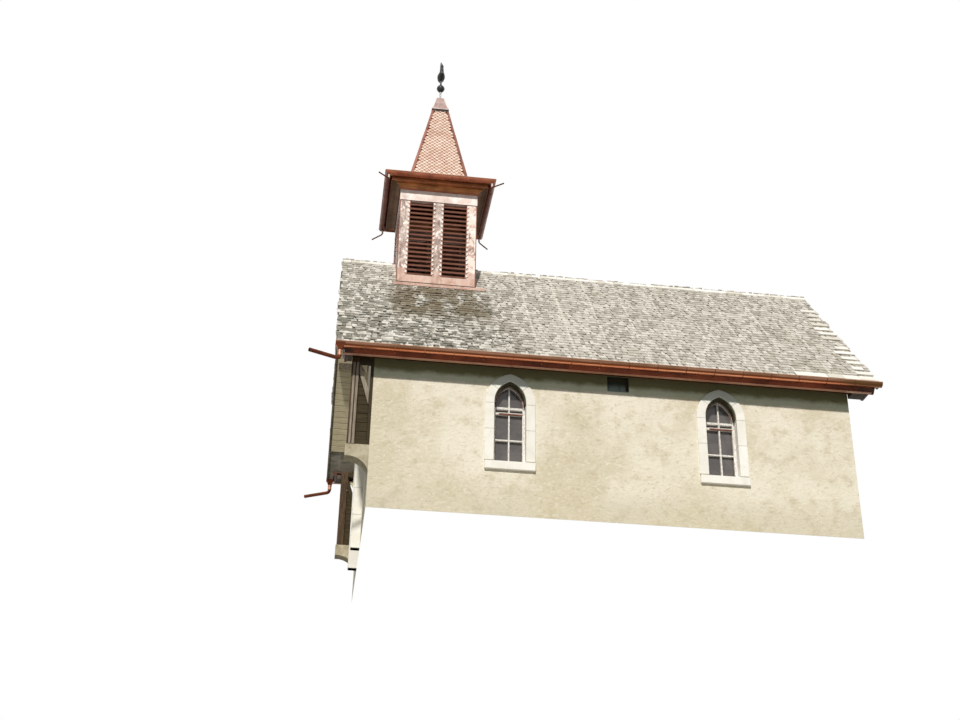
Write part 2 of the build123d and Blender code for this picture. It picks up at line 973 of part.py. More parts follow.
# Turret cornice: a moulded copper ring with mitred corners
def mitred_ring(profile):
    """Four runs of a profile round the turret, mitred at the corners.

    The profile's X is the distance out from the turret's face, its Y the height.
    """
    reach = turret_width
    with BuildPart() as ring:
        with BuildSketch(Plane(origin=(-reach, -half_turret, 0), x_dir=(0, -1, 0), z_dir=(-1, 0, 0))):
            add(profile)
        extrude(amount=-2 * reach)
        with BuildSketch():
            with BuildLine():
                Polyline((0, 0), (-reach, -reach), (reach, -reach), close=True)
            make_face()
        extrude(amount=2 * turret_cornice_top, mode=Mode.INTERSECT)
    with BuildPart() as whole:
        with PolarLocations(0, 4):
            add(ring.part)
    return turret_middle * whole.part


spire_foot = spire_width / 2 - half_turret

with BuildSketch() as turret_cornice_profile:
    with BuildLine():
        Polyline(
            (turret_cove, turret_soffit - turret_step),
            (turret_cove, turret_soffit),
            (turret_cornice_projection - turret_step, turret_soffit),
            (turret_cornice_projection - turret_step, turret_soffit - turret_step),
            (turret_cornice_projection, turret_soffit - turret_step),
            (turret_cornice_projection, turret_gutter_rim),
            (spire_foot, turret_cornice_top),
            (spire_foot - turret_panel, turret_cornice_top),
            (spire_foot - turret_panel, turret_gutter_rim - turret_panel),
            (-turret_panel, turret_top + bearing_gap),
            (turret_bead, turret_top + bearing_gap),
            (turret_bead, turret_top + turret_bead),
        )
        RadiusArc(
            (turret_bead, turret_top + turret_bead),
            (turret_cove, turret_soffit - turret_step),
            turret_cove,
        )
    make_face()

turret_cornice = mitred_ring(turret_cornice_profile.sketch)
save(turret_cornice, "turret_cornice")


# Turret frieze: a copper apron under the cornice that drips clear of the bays
with BuildSketch() as frieze_profile:
    with Locations((bearing_gap, frieze_bottom)):
        Rectangle(frieze_thickness, frieze_height, align=(Align.MIN, Align.MIN))

turret_frieze = mitred_ring(frieze_profile.sketch)
save(turret_frieze, "turret_frieze")


# Turret gutter: a half-round trough round the cornice
turret_gutter_centre = turret_cornice_projection + bearing_gap + turret_gutter_radius
with BuildSketch() as turret_gutter_profile:
    with Locations((turret_gutter_centre, turret_gutter_rim)):
        Circle(turret_gutter_radius)
        Circle(turret_gutter_radius - turret_gutter_wall, mode=Mode.SUBTRACT)
        Rectangle(
            2 * turret_gutter_radius, turret_gutter_radius,
            align=(Align.CENTER, Align.MIN), mode=Mode.SUBTRACT,
        )

turret_gutter = mitred_ring(turret_gutter_profile.sketch)
save(turret_gutter, "turret_gutter")


# Turret spouts: a thin pipe with an elbow under each gutter corner
spout_corner = half_turret + turret_gutter_centre
spout_start = turret_gutter_rim - turret_gutter_radius - bearing_gap
spout_turn = spout_start - turret_spout_drop
spout_end = spout_corner + turret_spout_reach / math.sqrt(2)

with BuildPart() as turret_spouts:
    with BuildLine() as turret_spout_path:
        FilletPolyline(
            (spout_corner, spout_corner, spout_start),
            (spout_corner, spout_corner, spout_turn),
            (spout_end, spout_end, spout_turn - turret_spout_fall),
            radius=turret_spout_bend,
        )
    with BuildSketch(Plane.XY.offset(spout_start)):
        with Locations((spout_corner, spout_corner)):
            Circle(turret_spout_radius)
            Circle(turret_spout_radius - turret_spout_wall, mode=Mode.SUBTRACT)
    sweep(path=turret_spout_path.wires()[0])
    mirror(about=Plane.XZ)
    mirror(about=Plane.YZ)

save(turret_spouts.part.moved(turret_middle), "turret_spouts")


# Spire: a hollow square pyramid on the cornice
spire_top_width = spire_width * spire_cap_depth / spire_height

with BuildPart() as spire:
    with BuildSketch(Plane.XY.offset(turret_cornice_top + bearing_gap)):
        with Locations((turret_offset, 0)):
            Rectangle(spire_width, spire_width)
    with BuildSketch(Plane.XY.offset(spire_cap_bottom - bearing_gap)):
        with Locations((turret_offset, 0)):
            Rectangle(spire_top_width, spire_top_width)
    loft()
    with BuildSketch(Plane.XY.offset(turret_cornice_top + bearing_gap)):
        with Locations((turret_offset, 0)):
            Rectangle(spire_width - 2 * spire_shell, spire_width - 2 * spire_shell)
    with BuildSketch(Plane.XY.offset(spire_cap_bottom - spire_cap_width)):
        with Locations((turret_offset, 0)):
            Rectangle(spire_top_width, spire_top_width)
    loft(mode=Mode.SUBTRACT)

save(spire.part, "spire")


# Spire cap: a copper frustum with a lip
with BuildPart() as spire_cap:
    with BuildSketch(Plane.XY.offset(spire_cap_bottom)):
        with Locations((turret_offset, 0)):
            Rectangle(spire_cap_width, spire_cap_width)
    extrude(amount=spire_cap_lip)
    with BuildSketch(Plane.XY.offset(spire_cap_bottom + spire_cap_lip)):
        with Locations((turret_offset, 0)):
            Rectangle(spire_cap_width - spire_cap_lip, spire_cap_width - spire_cap_lip)
    with BuildSketch(Plane.XY.offset(spire_cap_top)):
        with Locations((turret_offset, 0)):
            Rectangle(spire_cap_top_width, spire_cap_top_width)
    loft()

save(spire_cap.part, "spire_cap")


# Finial: a rod, a ball and the spindle that the cock turns on
with BuildPart() as finial:
    with Locations((turret_offset, 0, spire_cap_top)):
        Cylinder(
            finial_rod_radius, ball_height - spire_cap_top,
            align=(Align.CENTER, Align.CENTER, Align.MIN),
        )
    with Locations((turret_offset, 0, ball_height)):
        Sphere(ball_radius)
        Cylinder(
            spindle_radius, spindle_top - ball_height,
            align=(Align.CENTER, Align.CENTER, Align.MIN),
        )

save(finial.part, "finial")


# Weathercock: a full-bodied copper cock on a sleeve that turns on the spindle
cock_bore = spindle_radius + spindle_clearance
head_y = -cock_body_length / 2 + cock_head_radius / 2
head_z = cock_body_height + cock_neck_rise
beak_root_y = head_y - cock_head_radius / 2
tail_y = cock_body_length / 4
cock_sleeve_bottom = ball_height + ball_radius + cock_ball_gap


def sickle_feather(share):
    """One curled tail feather in profile, from its root at the origin."""
    crown = (cock_tail_reach * share / 2, cock_tail_rise * share)
    tip = (cock_tail_reach * share, crown[1] / 2)
    hollow = (crown[0] + cock_tail_root / 2, crown[1] - cock_tail_root)
    with BuildSketch() as feather:
        with BuildLine():
            Spline((0, 0), crown, tip, tangents=((0, 1), (0, -1)))
            Spline(tip, hollow, (cock_tail_root, -cock_tail_root), tangents=((0, 1), (0, -1)))
            Line((cock_tail_root, -cock_tail_root), (0, 0))
        make_face()
    return feather.sketch


with BuildPart() as weathercock:
    for station, girth in cock_body_girths:
        with BuildSketch(Plane.XZ.offset(-station * cock_body_length)):
            with Locations((0, cock_body_height)):
                Circle(girth * cock_body_radius)
    loft()
    with Locations((0, head_y, head_z)):
        Sphere(cock_head_radius)
    with BuildSketch(Plane.XY.offset(cock_body_height)):
        with Locations((0, head_y / 2)):
            Ellipse(cock_neck_width / 2, cock_neck_length / 2)
    with BuildSketch(Plane.XY.offset(head_z)):
        with Locations((0, head_y)):
            Ellipse(cock_neck_top_width / 2, cock_neck_top_length / 2)
    loft()
    with BuildSketch(Plane.YZ.offset(-cock_comb_thickness / 2)):
        with Locations((head_y, head_z + cock_head_radius)):
            with GridLocations(cock_comb_pitch, 0, cock_comb_points, 1):
                Circle(cock_comb_radius)
        with BuildLine():
            Polyline(
                (beak_root_y, head_z + cock_beak_height / 2),
                (head_y - cock_beak_length, head_z),
                (beak_root_y, head_z - cock_beak_height / 2),
                close=True,
            )
        make_face()
        with Locations((beak_root_y, head_z - cock_head_radius)):
            Circle(cock_wattle_radius)
    extrude(amount=cock_comb_thickness)
    with BuildSketch(Plane.YZ.offset(-cock_tail_thickness / 2)):
        with Locations((tail_y, cock_body_height)):
            for share in cock_sickle_shares:
                add(sickle_feather(share))
    extrude(amount=cock_tail_thickness)
    with Locations((0, 0, cock_sleeve_bottom)):
        Cylinder(
            cock_sleeve_radius, cock_body_height - cock_sleeve_bottom,
            align=(Align.CENTER, Align.CENTER, Align.MIN),
        )
        Cylinder(
            cock_bore, spindle_top + bearing_gap - cock_sleeve_bottom,
            align=(Align.CENTER, Align.CENTER, Align.MIN),
            mode=Mode.SUBTRACT,
        )

save(weathercock.part.moved(turret_middle), "weathercock")
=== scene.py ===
# %% [markdown]
# # A small mountain chapel
# The solids come first and the looks are built around them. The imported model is
# loaded once and never moved. Everything below is in metres, in its frame: X runs
# along the nave to the east, -Y faces the viewer, and Z is up.

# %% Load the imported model
import json
import math
import random
import bpy
import bmesh
from mathutils import Matrix, Vector


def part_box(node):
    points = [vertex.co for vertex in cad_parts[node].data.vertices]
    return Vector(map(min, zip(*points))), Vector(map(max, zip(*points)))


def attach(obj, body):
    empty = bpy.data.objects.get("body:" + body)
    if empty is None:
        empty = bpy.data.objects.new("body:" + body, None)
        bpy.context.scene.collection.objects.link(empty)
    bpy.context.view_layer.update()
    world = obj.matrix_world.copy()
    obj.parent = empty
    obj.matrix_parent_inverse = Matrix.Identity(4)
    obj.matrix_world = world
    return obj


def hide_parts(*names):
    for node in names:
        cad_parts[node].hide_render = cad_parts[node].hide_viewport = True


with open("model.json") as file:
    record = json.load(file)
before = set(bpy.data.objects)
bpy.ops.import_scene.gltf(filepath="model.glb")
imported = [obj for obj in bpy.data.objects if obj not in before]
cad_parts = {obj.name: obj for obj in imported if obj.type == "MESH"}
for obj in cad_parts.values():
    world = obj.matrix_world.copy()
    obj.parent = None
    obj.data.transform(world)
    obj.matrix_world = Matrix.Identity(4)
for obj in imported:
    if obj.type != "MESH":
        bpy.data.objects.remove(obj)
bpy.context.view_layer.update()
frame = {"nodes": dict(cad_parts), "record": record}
nodes = frame["nodes"]

# %% [markdown]
# ## Sizes that the pieces share
# A roofer starts from the pitch and the ridge, and everything laid on the roof
# follows from those two.

# %% Read the main lines from the solids
slope_low, slope_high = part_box("roof_front_slope")
RIDGE = slope_high.z
EAVE_Y = -slope_low.y
ROOF_WEST, ROOF_EAST = slope_low.x - 0.03, slope_high.x + 0.03
PITCH = math.radians(49)
SLOPE = math.tan(PITCH)
UPRIGHT = math.pi / 2
SIDES = (-1, 1)
CORNERS = ((-1, -1), (1, -1), (1, 1), (-1, 1))
turret_low, turret_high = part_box("turret_front_wall")
TURRET_X = (turret_low.x + turret_high.x) / 2
TURRET_HALF = -turret_low.y
print("ridge", round(RIDGE, 3), "eave", round(EAVE_Y, 3), "turret", round(TURRET_X, 3))

# %% [markdown]
# ## Building materials from nodes
# Weathered surfaces are layers: a ground colour, large stains, small grain, and a
# relief that catches light. Two small classes keep that order readable. The first
# wires nodes; the second builds one Principled shader, coat by coat. Every pattern
# reads Object coordinates, so a hand-sized mark is hand-sized on every piece.

# %% A hand tool for node trees
class Wiring:
    """Adds nodes to a tree one at a time and feeds their inputs."""

    def __init__(self, tree):
        self.tree = tree

    def step(self, kind, feeds=(), out=0, **settings):
        node = self.tree.nodes.new(kind)
        for label, value in settings.items():
            setattr(node, label, value)
        for label, value in dict(feeds).items():
            if isinstance(value, bpy.types.NodeSocket):
                self.tree.links.new(value, node.inputs[label])
            else:
                node.inputs[label].default_value = value
        return node.outputs[out] if len(node.outputs) else None

    def sums(self, operation, first, second=0.0, third=0.0):
        feeds = {0: first, 1: second, 2: third}
        return self.step("ShaderNodeMath", feeds, operation=operation)

    def times(self, first, *others):
        for other in others:
            first = self.sums("MULTIPLY", first, other)
        return first


print("node tool ready")

# %% A hand tool for finishes
finishes = {}


def paint(tint):
    """A colour as it is seen on screen, 0 to 255, turned into light."""
    if isinstance(tint, bpy.types.NodeSocket):
        return tint
    shares = [value / 255 for value in tint]
    light = [s / 12.92 if s <= 0.04045 else ((s + 0.055) / 1.055) ** 2.4 for s in shares]
    return (*light, 1.0)


class Finish(Wiring):
    """One material: a ground colour, then coat over coat on a Principled shader."""

    def __init__(self, name, ground, roughness=0.8, metallic=0.0, specular=0.3):
        self.material = bpy.data.materials.new(name)
        self.material.use_nodes = True
        super().__init__(self.material.node_tree)
        self.shader = self.tree.nodes["Principled BSDF"].inputs
        self.shader["Roughness"].default_value = roughness
        self.shader["Metallic"].default_value = metallic
        self.shader["Specular IOR Level"].default_value = specular
        self.place = self.step("ShaderNodeTexCoord", out="Object")
        self.skin, self.relief = ground, None
        finishes[name] = self

    def noise(self, scale, detail=4, stretch=None, rough=0.55, distortion=0.0, turn=(0, 0, 0)):
        place = self.place
        if stretch:
            feeds = {"Vector": place, "Scale": stretch, "Rotation": turn}
            place = self.step("ShaderNodeMapping", feeds)
        feeds = {"Vector": place, "Scale": scale, "Detail": detail, "Roughness": rough}
        feeds["Distortion"] = distortion
        return self.step("ShaderNodeTexNoise", feeds, out="Fac")

    def axis(self, name):
        return self.step("ShaderNodeSeparateXYZ", {0: self.place}, out=name)

    def off(self, name, middle=0.0):
        """How far a place lies from the middle along one axis."""
        return self.sums("ABSOLUTE", self.sums("SUBTRACT", self.axis(name), middle))

    def tone(self):
        """The number that each laid or moulded piece carries for itself."""
        return self.step("ShaderNodeAttribute", out="Fac", attribute_name="tone")

    def span(self, value, low, high, start=0.0, end=1.0):
        """A soft step from start to end, while a value goes from low to high."""
        feeds = {"Value": value, "From Min": low, "From Max": high, "To Min": start, "To Max": end}
        return self.step("ShaderNodeMapRange", feeds, interpolation_type="SMOOTHSTEP")

    def blend(self, share, under, over):
        feeds = {0: share, 6: paint(under), 7: paint(over)}
        return self.step("ShaderNodeMix", feeds, out=2, data_type="RGBA")

    def coat(self, tint, share):
        """Lays a colour over those already there, as far as its share says."""
        self.skin = self.blend(share, self.skin, tint)
        self.tree.links.new(self.skin, self.shader["Base Color"])

    def stain(self, tint, value, low, high, start=0.0, end=1.0):
        """A coat that comes in where a value goes from low to high."""
        self.coat(tint, self.span(value, low, high, start, end))

    def dent(self, height, depth, strength=1.0):
        """A relief on top of those already there."""
        feeds = {"Strength": strength, "Distance": depth, "Height": height}
        if self.relief is not None:
            feeds["Normal"] = self.relief
        self.relief = self.step("ShaderNodeBump", feeds)
        self.tree.links.new(self.relief, self.shader["Normal"])


def two_tone(name, ground, tint, grain, **sheen):
    """A plain finish: one colour with soft spots of another."""
    made = Finish(name, ground, **sheen)
    made.coat(tint, made.noise(grain))
    return made


print("colour of the render in light:", [round(v, 3) for v in paint((232, 224, 203))[:3]])

# %% [markdown]
# ## Lime render
# The walls are rough-cast: sand and small grit thrown on in wet lime, then limewashed
# a warm cream. It is never even. Rain leaves darker runs, damp darkens the foot, and
# patches differ where the trowel stopped. Noises at wall, hand and grit scale give
# that, and the grit is also the relief. Under the eaves the colour holds painted
# shade: a greenish tint in the shaded strip and a dark olive band right under the
# soffit. The reveals of the two vents are painted dark as shade.

# %% Lime render
VENT_MIDDLE = 0.05
render = Finish("lime_render", (218, 209, 184), roughness=0.93, specular=0.12)
patches = render.noise(0.55, 5)
hand = render.noise(3.6, 6, rough=0.62)
trowel = render.noise(11, 5, (1, 1, 1.5), 0.6, 0.6, turn=(0, 0.5, 0))
grit = render.noise(34, 5, rough=0.7)
runs = render.noise(1.0, 5, (3.2, 3.2, 0.35), 0.6)
for tint, *mask in (
    ((240, 233, 216), patches, 0.36, 0.62),
    ((206, 195, 168), hand, 0.48, 0.72, 0, 0.7),
    ((203, 192, 166), runs, 0.56, 0.82, 0, 0.4),
    ((190, 178, 148), trowel, 0.55, 0.68, 0, 0.45),
    ((244, 239, 224), trowel, 0.34, 0.46, 0.5, 0),
    ((176, 163, 134), grit, 0.58, 0.70, 0, 0.6),
):
    render.stain(tint, *mask)
height = render.axis("Z")
damp = render.times(render.span(height, 0.05, 0.9, 1, 0), render.span(patches, 0.3, 0.7), 0.55)
render.coat((178, 170, 143), damp)
outside = render.span(render.off("Y"), 2.9, 3.0)
ragged = render.sums("ADD", height, render.times(hand, 0.16))
# Painted shade under the eaves: a greenish tint in the shaded strip, and a dark olive band right
# under the soffit.
for tint, low, high, share in (
    ((196, 206, 178), 2.73, 2.80, 0.75),
    ((104, 100, 54), 2.85, 2.99, 0.85),
):
    render.coat(tint, render.times(render.span(ragged, low, high), outside, share))
# Painted shade: the reveals round the two vents are painted dark.
vent_reveal_shade = render.times(
    render.span(render.off("X", VENT_MIDDLE), 0.225, 0.235, 1, 0),
    render.span(height, 2.715, 2.725),
    render.span(render.off("Y"), 2.990, 2.996, 1, 0),
    render.span(render.off("Y"), 2.84, 2.85),
)
render.coat((60, 64, 52), vent_reveal_shade)
render.dent(hand, 0.03, 0.5)
render.dent(trowel, 0.02, 0.6)
render.dent(grit, 0.008, 0.8)
print("render nodes", len(render.tree.nodes))

# %% [markdown]
# ## Dressed stone
# The window and door surrounds are sawn limestone, nearly white, with fine tool marks
# and a few grey veins. The stones of the cheeks are older, and lichen grows on them.

# %% Dressed stone
stone = Finish("dressed_stone", (254, 252, 246), roughness=0.82, specular=0.25)
tooling = stone.noise(38, 4, (1, 1, 0.35))
stone.stain((240, 237, 228), stone.noise(2.2, 6, distortion=0.8), 0.35, 0.7)
stone.stain((206, 200, 184), tooling, 0.55, 0.8, 0, 0.4)
stone.coat((226, 222, 209), stone.times(stone.tone(), 0.35))
# Painted shade: high up, in the eave's shadow, the stone is tinted grey green.
stone.stain((176, 192, 180), stone.axis("Z"), 2.63, 2.69, 0, 0.6)
stone.dent(tooling, 0.003, 0.7)

old_stone = Finish("old_stone", (196, 186, 162), roughness=0.9, specular=0.15)
lichen = old_stone.noise(16, 5)
old_stone.stain((164, 154, 130), old_stone.noise(3.5, 6, distortion=0.8), 0.35, 0.7)
old_stone.stain((122, 116, 96), lichen, 0.56, 0.7, 0, 0.6)
old_stone.dent(lichen, 0.005, 0.7)

two_tone("mortar", (150, 144, 128), (186, 180, 162), 20, roughness=0.95, specular=0.1)
print("stones", list(finishes))

# %% [markdown]
# ## Weathered shingles
# Split spruce or larch shingles turn silver in a few winters. Each one weathers by
# itself, so each carries its own number, stored on the mesh as `tone`, and the
# material turns that number into a shade. Grain runs down the slope. Lichen, damp and
# soot gather in large soft clouds: thick at the low west end and below the turret.

# %% Weathered shingles
def shingle_finish(name, pale, middle, dark, relief):
    made = Finish(name, dark, roughness=0.9, specular=0.2)
    own, grain = made.tone(), made.noise(1.0, 6, (80, 14, 14), 0.65)
    made.stain(middle, own, 0.05, 0.4)
    made.stain(pale, own, 0.55, 0.85)
    made.stain(dark, grain, 0.50, 0.68, 0, 0.5)
    made.stain(pale, grain, 0.30, 0.44, 0.5, 0)
    made.dent(grain, 0.004, relief)
    return made


def clouded(made):
    """Soft clouds of lichen, pale streaks down the slope, and a faint ladder of joints."""
    clouds = made.noise(0.8, 6, rough=0.62)
    made.stain((176, 168, 150), clouds, 0.48, 0.74, 0, 0.4)
    made.stain((208, 202, 190), clouds, 0.24, 0.42, 0.4, 0)
    made.stain((222, 217, 206), made.noise(1.0, 3, (7.0, 0.25, 0.25), 0.5), 0.62, 0.70, 0, 0.5)
    ladder = made.sums("PINGPONG", made.sums("SUBTRACT", made.axis("X"), 2.15), 0.37)
    broken = made.span(made.noise(1.0, 4, (0.9, 1.4, 1.4), 0.6), 0.38, 0.48)
    made.coat((240, 236, 228), made.times(made.span(ladder, 0.010, 0.034, 1, 0), broken, 0.5))


def weathered_west(made):
    """The low west end stays damp: its shingles differ more, and moss fills the gaps."""
    west = made.span(made.axis("X"), -3.4, -0.9, 1, 0)
    share = made.times(west, made.span(made.axis("Z"), 4.2, 6.6, 1, 0.3))
    mixed = made.blend(made.span(made.tone(), 0.25, 0.75), (138, 134, 122), (234, 230, 222))
    made.coat(mixed, made.times(share, 0.75))
    speckle = made.span(made.noise(4.5, 5, (1.0, 2.4, 2.4), 0.7), 0.47, 0.58)
    made.coat((92, 94, 84), made.times(share, speckle, 0.6))


def stained_by_turret(made):
    """Soot and lichen washed down from the turret, fading along the slope."""
    near = made.span(made.off("X", TURRET_X + 0.05), 0.85, 1.25, 1, 0)
    height = made.axis("Z")
    down = made.times(made.span(height, 4.2, 5.0), made.span(height, 5.88, 6.02, 1, 0))
    blots = made.span(made.noise(1.9, 4, (1.0, 0.5, 0.5), 0.6), 0.39, 0.47)
    made.coat((112, 98, 72), made.times(near, down, blots, 0.75))


shingle = shingle_finish(
    "weathered_shingle", (222, 218, 210), (200, 195, 186), (172, 166, 156), 0.8)
clouded(shingle)
weathered_west(shingle)
stained_by_turret(shingle)
shingle_finish("pale_shingle", (252, 250, 244), (243, 240, 232), (220, 214, 202), 0.7)
print("shingle nodes", len(shingle.tree.nodes))

# %% [markdown]
# ## Timber
# Bare larch goes grey, sheltered timber stays brown. The dark brown of the cheek
# boards is partly that and partly painted shade. Both have long grain, so the noise
# is squeezed across the grain and stretched along it: along X for level boards, along
# Z for posts and planks.

# %% Timber finishes
def timber_finish(name, light, dark, grain, roughness=0.85):
    made = Finish(name, light, roughness=roughness, specular=0.25)
    rings = made.noise(1.0, 6, grain, 0.62, 0.4)
    made.stain(dark, rings, 0.34, 0.7)
    made.stain(dark, made.noise(1.3, 4), 0.45, 0.75, 0, 0.45)
    made.dent(rings, 0.004, 0.7)
    return made


for row in (
    ("grey_timber", (150, 140, 124), (96, 86, 70), (45, 45, 3.5)),
    ("dark_timber", (104, 84, 62), (58, 43, 30), (4, 45, 45)),
    ("painted_window_timber", (254, 252, 248), (184, 176, 166), (60, 60, 16), 0.55),
    # dark brown wood for the cheek boards, with painted shade in its colour
    ("sheltered_timber", (72, 62, 40), (46, 38, 24), (4, 45, 45)),
    ("silver_timber", (164, 154, 138), (122, 112, 98), (50, 50, 4)),
    ("cream_boards", (226, 216, 186), (200, 188, 156), (5, 40, 40)),
    ("cheek_timber", (98, 78, 58), (56, 42, 30), (45, 45, 4)),
    ("oak_planks", (126, 98, 68), (84, 62, 42), (40, 40, 4)),
):
    timber_finish(*row)
print("timber", [name for name in finishes if "timber" in name])

# %% [markdown]
# ## Window glass
# Old glass in a dark room reads as a flat, warm grey. Fine horizontal lead lines
# cross it. It is dark and smooth, with a slight waviness that breaks reflections.

# %% Window glass
glass = Finish("window_glass", (84, 80, 79), roughness=0.16, specular=0.5)
ripple = glass.noise(3.0, 3)
lead = glass.span(glass.sums("PINGPONG", glass.axis("Z"), 0.055), 0.0, 0.006, 1, 0)
glass.stain((100, 95, 93), ripple, 0.35, 0.65)
glass.coat((62, 58, 56), glass.times(lead, 0.35))
glass.dent(ripple, 0.01, 0.25)
print("glass nodes", len(glass.tree.nodes))

# %% [markdown]
# ## Copper
# Fresh copper is salmon pink. It browns where rain runs and darkens where it is
# sheltered. Most finishes here are one metal at different ages: a metallic shader with
# two tarnish colours, blotches, fine streaks, and sheet that is never quite flat. Some
# hold painted light: the skirt and shade finishes are painted shade, the near-white
# tab finish is a painted highlight, and the pale drip finish is partly one.

# %% Copper finishes
UPWARD, LEVEL = (5, 5, 1.6), (0.8, 9, 14)


def copper_finish(name, bright, tarnish, stain, roughness, blotch, metallic, streaks=(6, 6, 1.2)):
    made = Finish(name, bright, roughness, metallic, 0.5)
    clouds = made.noise(blotch, 6, rough=0.62, distortion=0.6)
    fine = made.noise(30, 3)
    made.stain(tarnish, clouds, 0.36, 0.66)
    made.stain(stain, made.noise(1.0, 5, streaks, 0.6), 0.5, 0.76, 0, 0.7)
    made.stain(stain, fine, 0.56, 0.78, 0, 0.3)
    worn = made.span(clouds, 0.3, 0.7, roughness - 0.1, roughness + 0.14)
    made.tree.links.new(worn, made.shader["Roughness"])
    made.dent(made.noise(2.6, 2), 0.02, 0.35)
    made.dent(fine, 0.002, 0.4)
    return made


for name, bright, tarnish, stain, *rest in (
    ("pale", (244, 230, 224), (222, 202, 194), (160, 148, 144), 0.5, 2.6, 0.1, UPWARD),
    ("cap", (188, 164, 160), (164, 136, 130), (120, 96, 90), 0.5, 3.0, 0.2, UPWARD),
    ("brown", (130, 62, 30), (96, 44, 18), (58, 26, 11), 0.34, 1.6, 0.6, LEVEL),
    ("eave", (118, 52, 21), (84, 35, 11), (46, 18, 6), 0.34, 1.6, 0.6, LEVEL),
    ("gutter", (160, 116, 92), (132, 96, 70), (92, 64, 38), 0.34, 1.1, 0.65, LEVEL),
    ("turret_gutter", (182, 108, 80), (140, 76, 50), (98, 46, 26), 0.34, 2.2, 0.6, (2.5, 9, 14)),
    ("turret_cornice", (200, 134, 82), (152, 98, 56), (86, 52, 28), 0.4, 1.6, 0.5, (1.5, 9, 16)),
    # drip: pale copper for rolled rims, drips and collars, partly a painted highlight along those
    # edges
    ("drip", (206, 160, 134), (172, 124, 98), (118, 82, 60), 0.42, 1.2, 0.4, LEVEL),
    # tab: near white, a painted highlight on the tabs, the rolled cap edges and the drops
    ("tab", (252, 244, 238), (240, 224, 214), (206, 184, 172), 0.5, 4.0, 0.0),
    ("louvre", (148, 102, 85), (110, 69, 54), (78, 45, 35), 0.5, 3.0, 0.4),
    ("dark", (72, 72, 72), (46, 46, 46), (30, 30, 30), 0.38, 8.0, 0.6),
    ("hip", (146, 94, 76), (112, 68, 52), (80, 46, 34), 0.45, 2.0, 0.4),
    # skirt: near black, painted shade under the cap's rim and at the turret's folds
    ("skirt", (48, 22, 17), (36, 16, 13), (24, 12, 10), 0.75, 3.0, 0.0),
    # shade: dark, painted shade on the boxed ends of the eave cornices
    ("shade", (66, 54, 34), (50, 40, 24), (34, 28, 16), 0.6, 2.0, 0.2),
):
    copper_finish(name + "_copper", bright, tarnish, stain, *rest)
print("coppers", [name for name in finishes if "copper" in name])

# %% [markdown]
# Some sheets carry painted light and shade by their place. The long gutter is paler
# above and darker brown below, with a painted orange highlight along its underside,
# where it faces the ground; its east end is dull. The sides of the turret's cornice
# and gutter and the outer ends of the eave cornices are darkened with painted shade.

# %% Copper with painted highlight and shade by its place
gutter = finishes["gutter_copper"]
clouds = gutter.noise(1.0, 5, (1.2, 6, 6), 0.6)
gutter.skin = (160, 116, 92)  # its colour starts again from the bare ground
gutter.stain((132, 96, 70), clouds, 0.4, 0.6)
low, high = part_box("front_gutter")
height = gutter.span(gutter.axis("Z"), low.z, high.z)
# Darker brown on the lower half; below it a painted orange highlight along the underside, where
# the gutter faces the ground.
painted_highlight = gutter.blend(gutter.span(clouds, 0.35, 0.65), (255, 180, 140), (240, 142, 102))
gutter.stain((122, 62, 26), height, 0.50, 0.36)
gutter.stain(painted_highlight, height, 0.045, 0.025)
gutter.stain((98, 66, 26), gutter.axis("X"), 4.3, 4.8, 0, 0.8)
# Painted shade: the east and west faces of the turret's cornice and gutter are darkened.
for name, side_shade in (("turret_cornice", (80, 56, 28)), ("turret_gutter", (92, 46, 26))):
    made = finishes[name + "_copper"]
    beside = made.sums("SUBTRACT", made.off("X", TURRET_X), made.off("Y"))
    made.stain(side_shade, beside, -0.01, 0.03, 0, 0.85)
eaves = finishes["eave_copper"]
# Painted shade: the outer ends of the eave cornices are darkened.
eaves.stain((44, 26, 16), eaves.off("X", -0.16), 4.96, 5.06, 0, 0.8)
print("gutter between", round(low.z, 3), "and", round(high.z, 3))

# %% [markdown]
# ## Every solid gets its finish
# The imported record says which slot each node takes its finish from, so the walls,
# stones and copper sheets are painted from that list. A few wear an older or a newer
# finish of the same kind.

# %% Paint the nodes by slot
slot_of = {part["node"]: part["material_slot"] for part in frame["record"]["subparts"]}
own_finish = {
    "turret_gutter": "turret_gutter_copper", "turret_cornice": "turret_cornice_copper",
    "spire": "brown_copper", "spire_cap": "cap_copper",
}
for half in ("front", "back"):
    own_finish[half + "_gutter"] = "gutter_copper"
    own_finish[half + "_eave_cornice"] = "eave_copper"
    own_finish[half + "_cheek_stone"] = "old_stone"
    own_finish[half + "_cheek_boards"] = "sheltered_timber"
    own_finish[half + "_cheek_frame"] = "cheek_timber"


def wear(name, finish):
    """Gives a solid one finish on all its faces."""
    mesh = nodes[name].data
    mesh.materials.clear()
    mesh.materials.append(finishes[finish].material)


for name in nodes:
    wear(name, own_finish.get(name, slot_of[name]))
print("painted", len(nodes), "nodes in", len(set(slot_of.values())), "slots")

# %% [markdown]
# ## A tree that lays courses
# Shingles, copper scales, boards and gutter straps have one thing in common: a small
# piece repeated in rows along a plane, a little unevenly. One Geometry Nodes tree does
# that. The object's own mesh is the single piece. The tree makes a grid of points,
# shifts every second row, slips, turns and shades each point by a seeded random
# number, drops the points outside a tapering face, puts the piece on the rest, and
# turns the whole sheet into its place on the building.

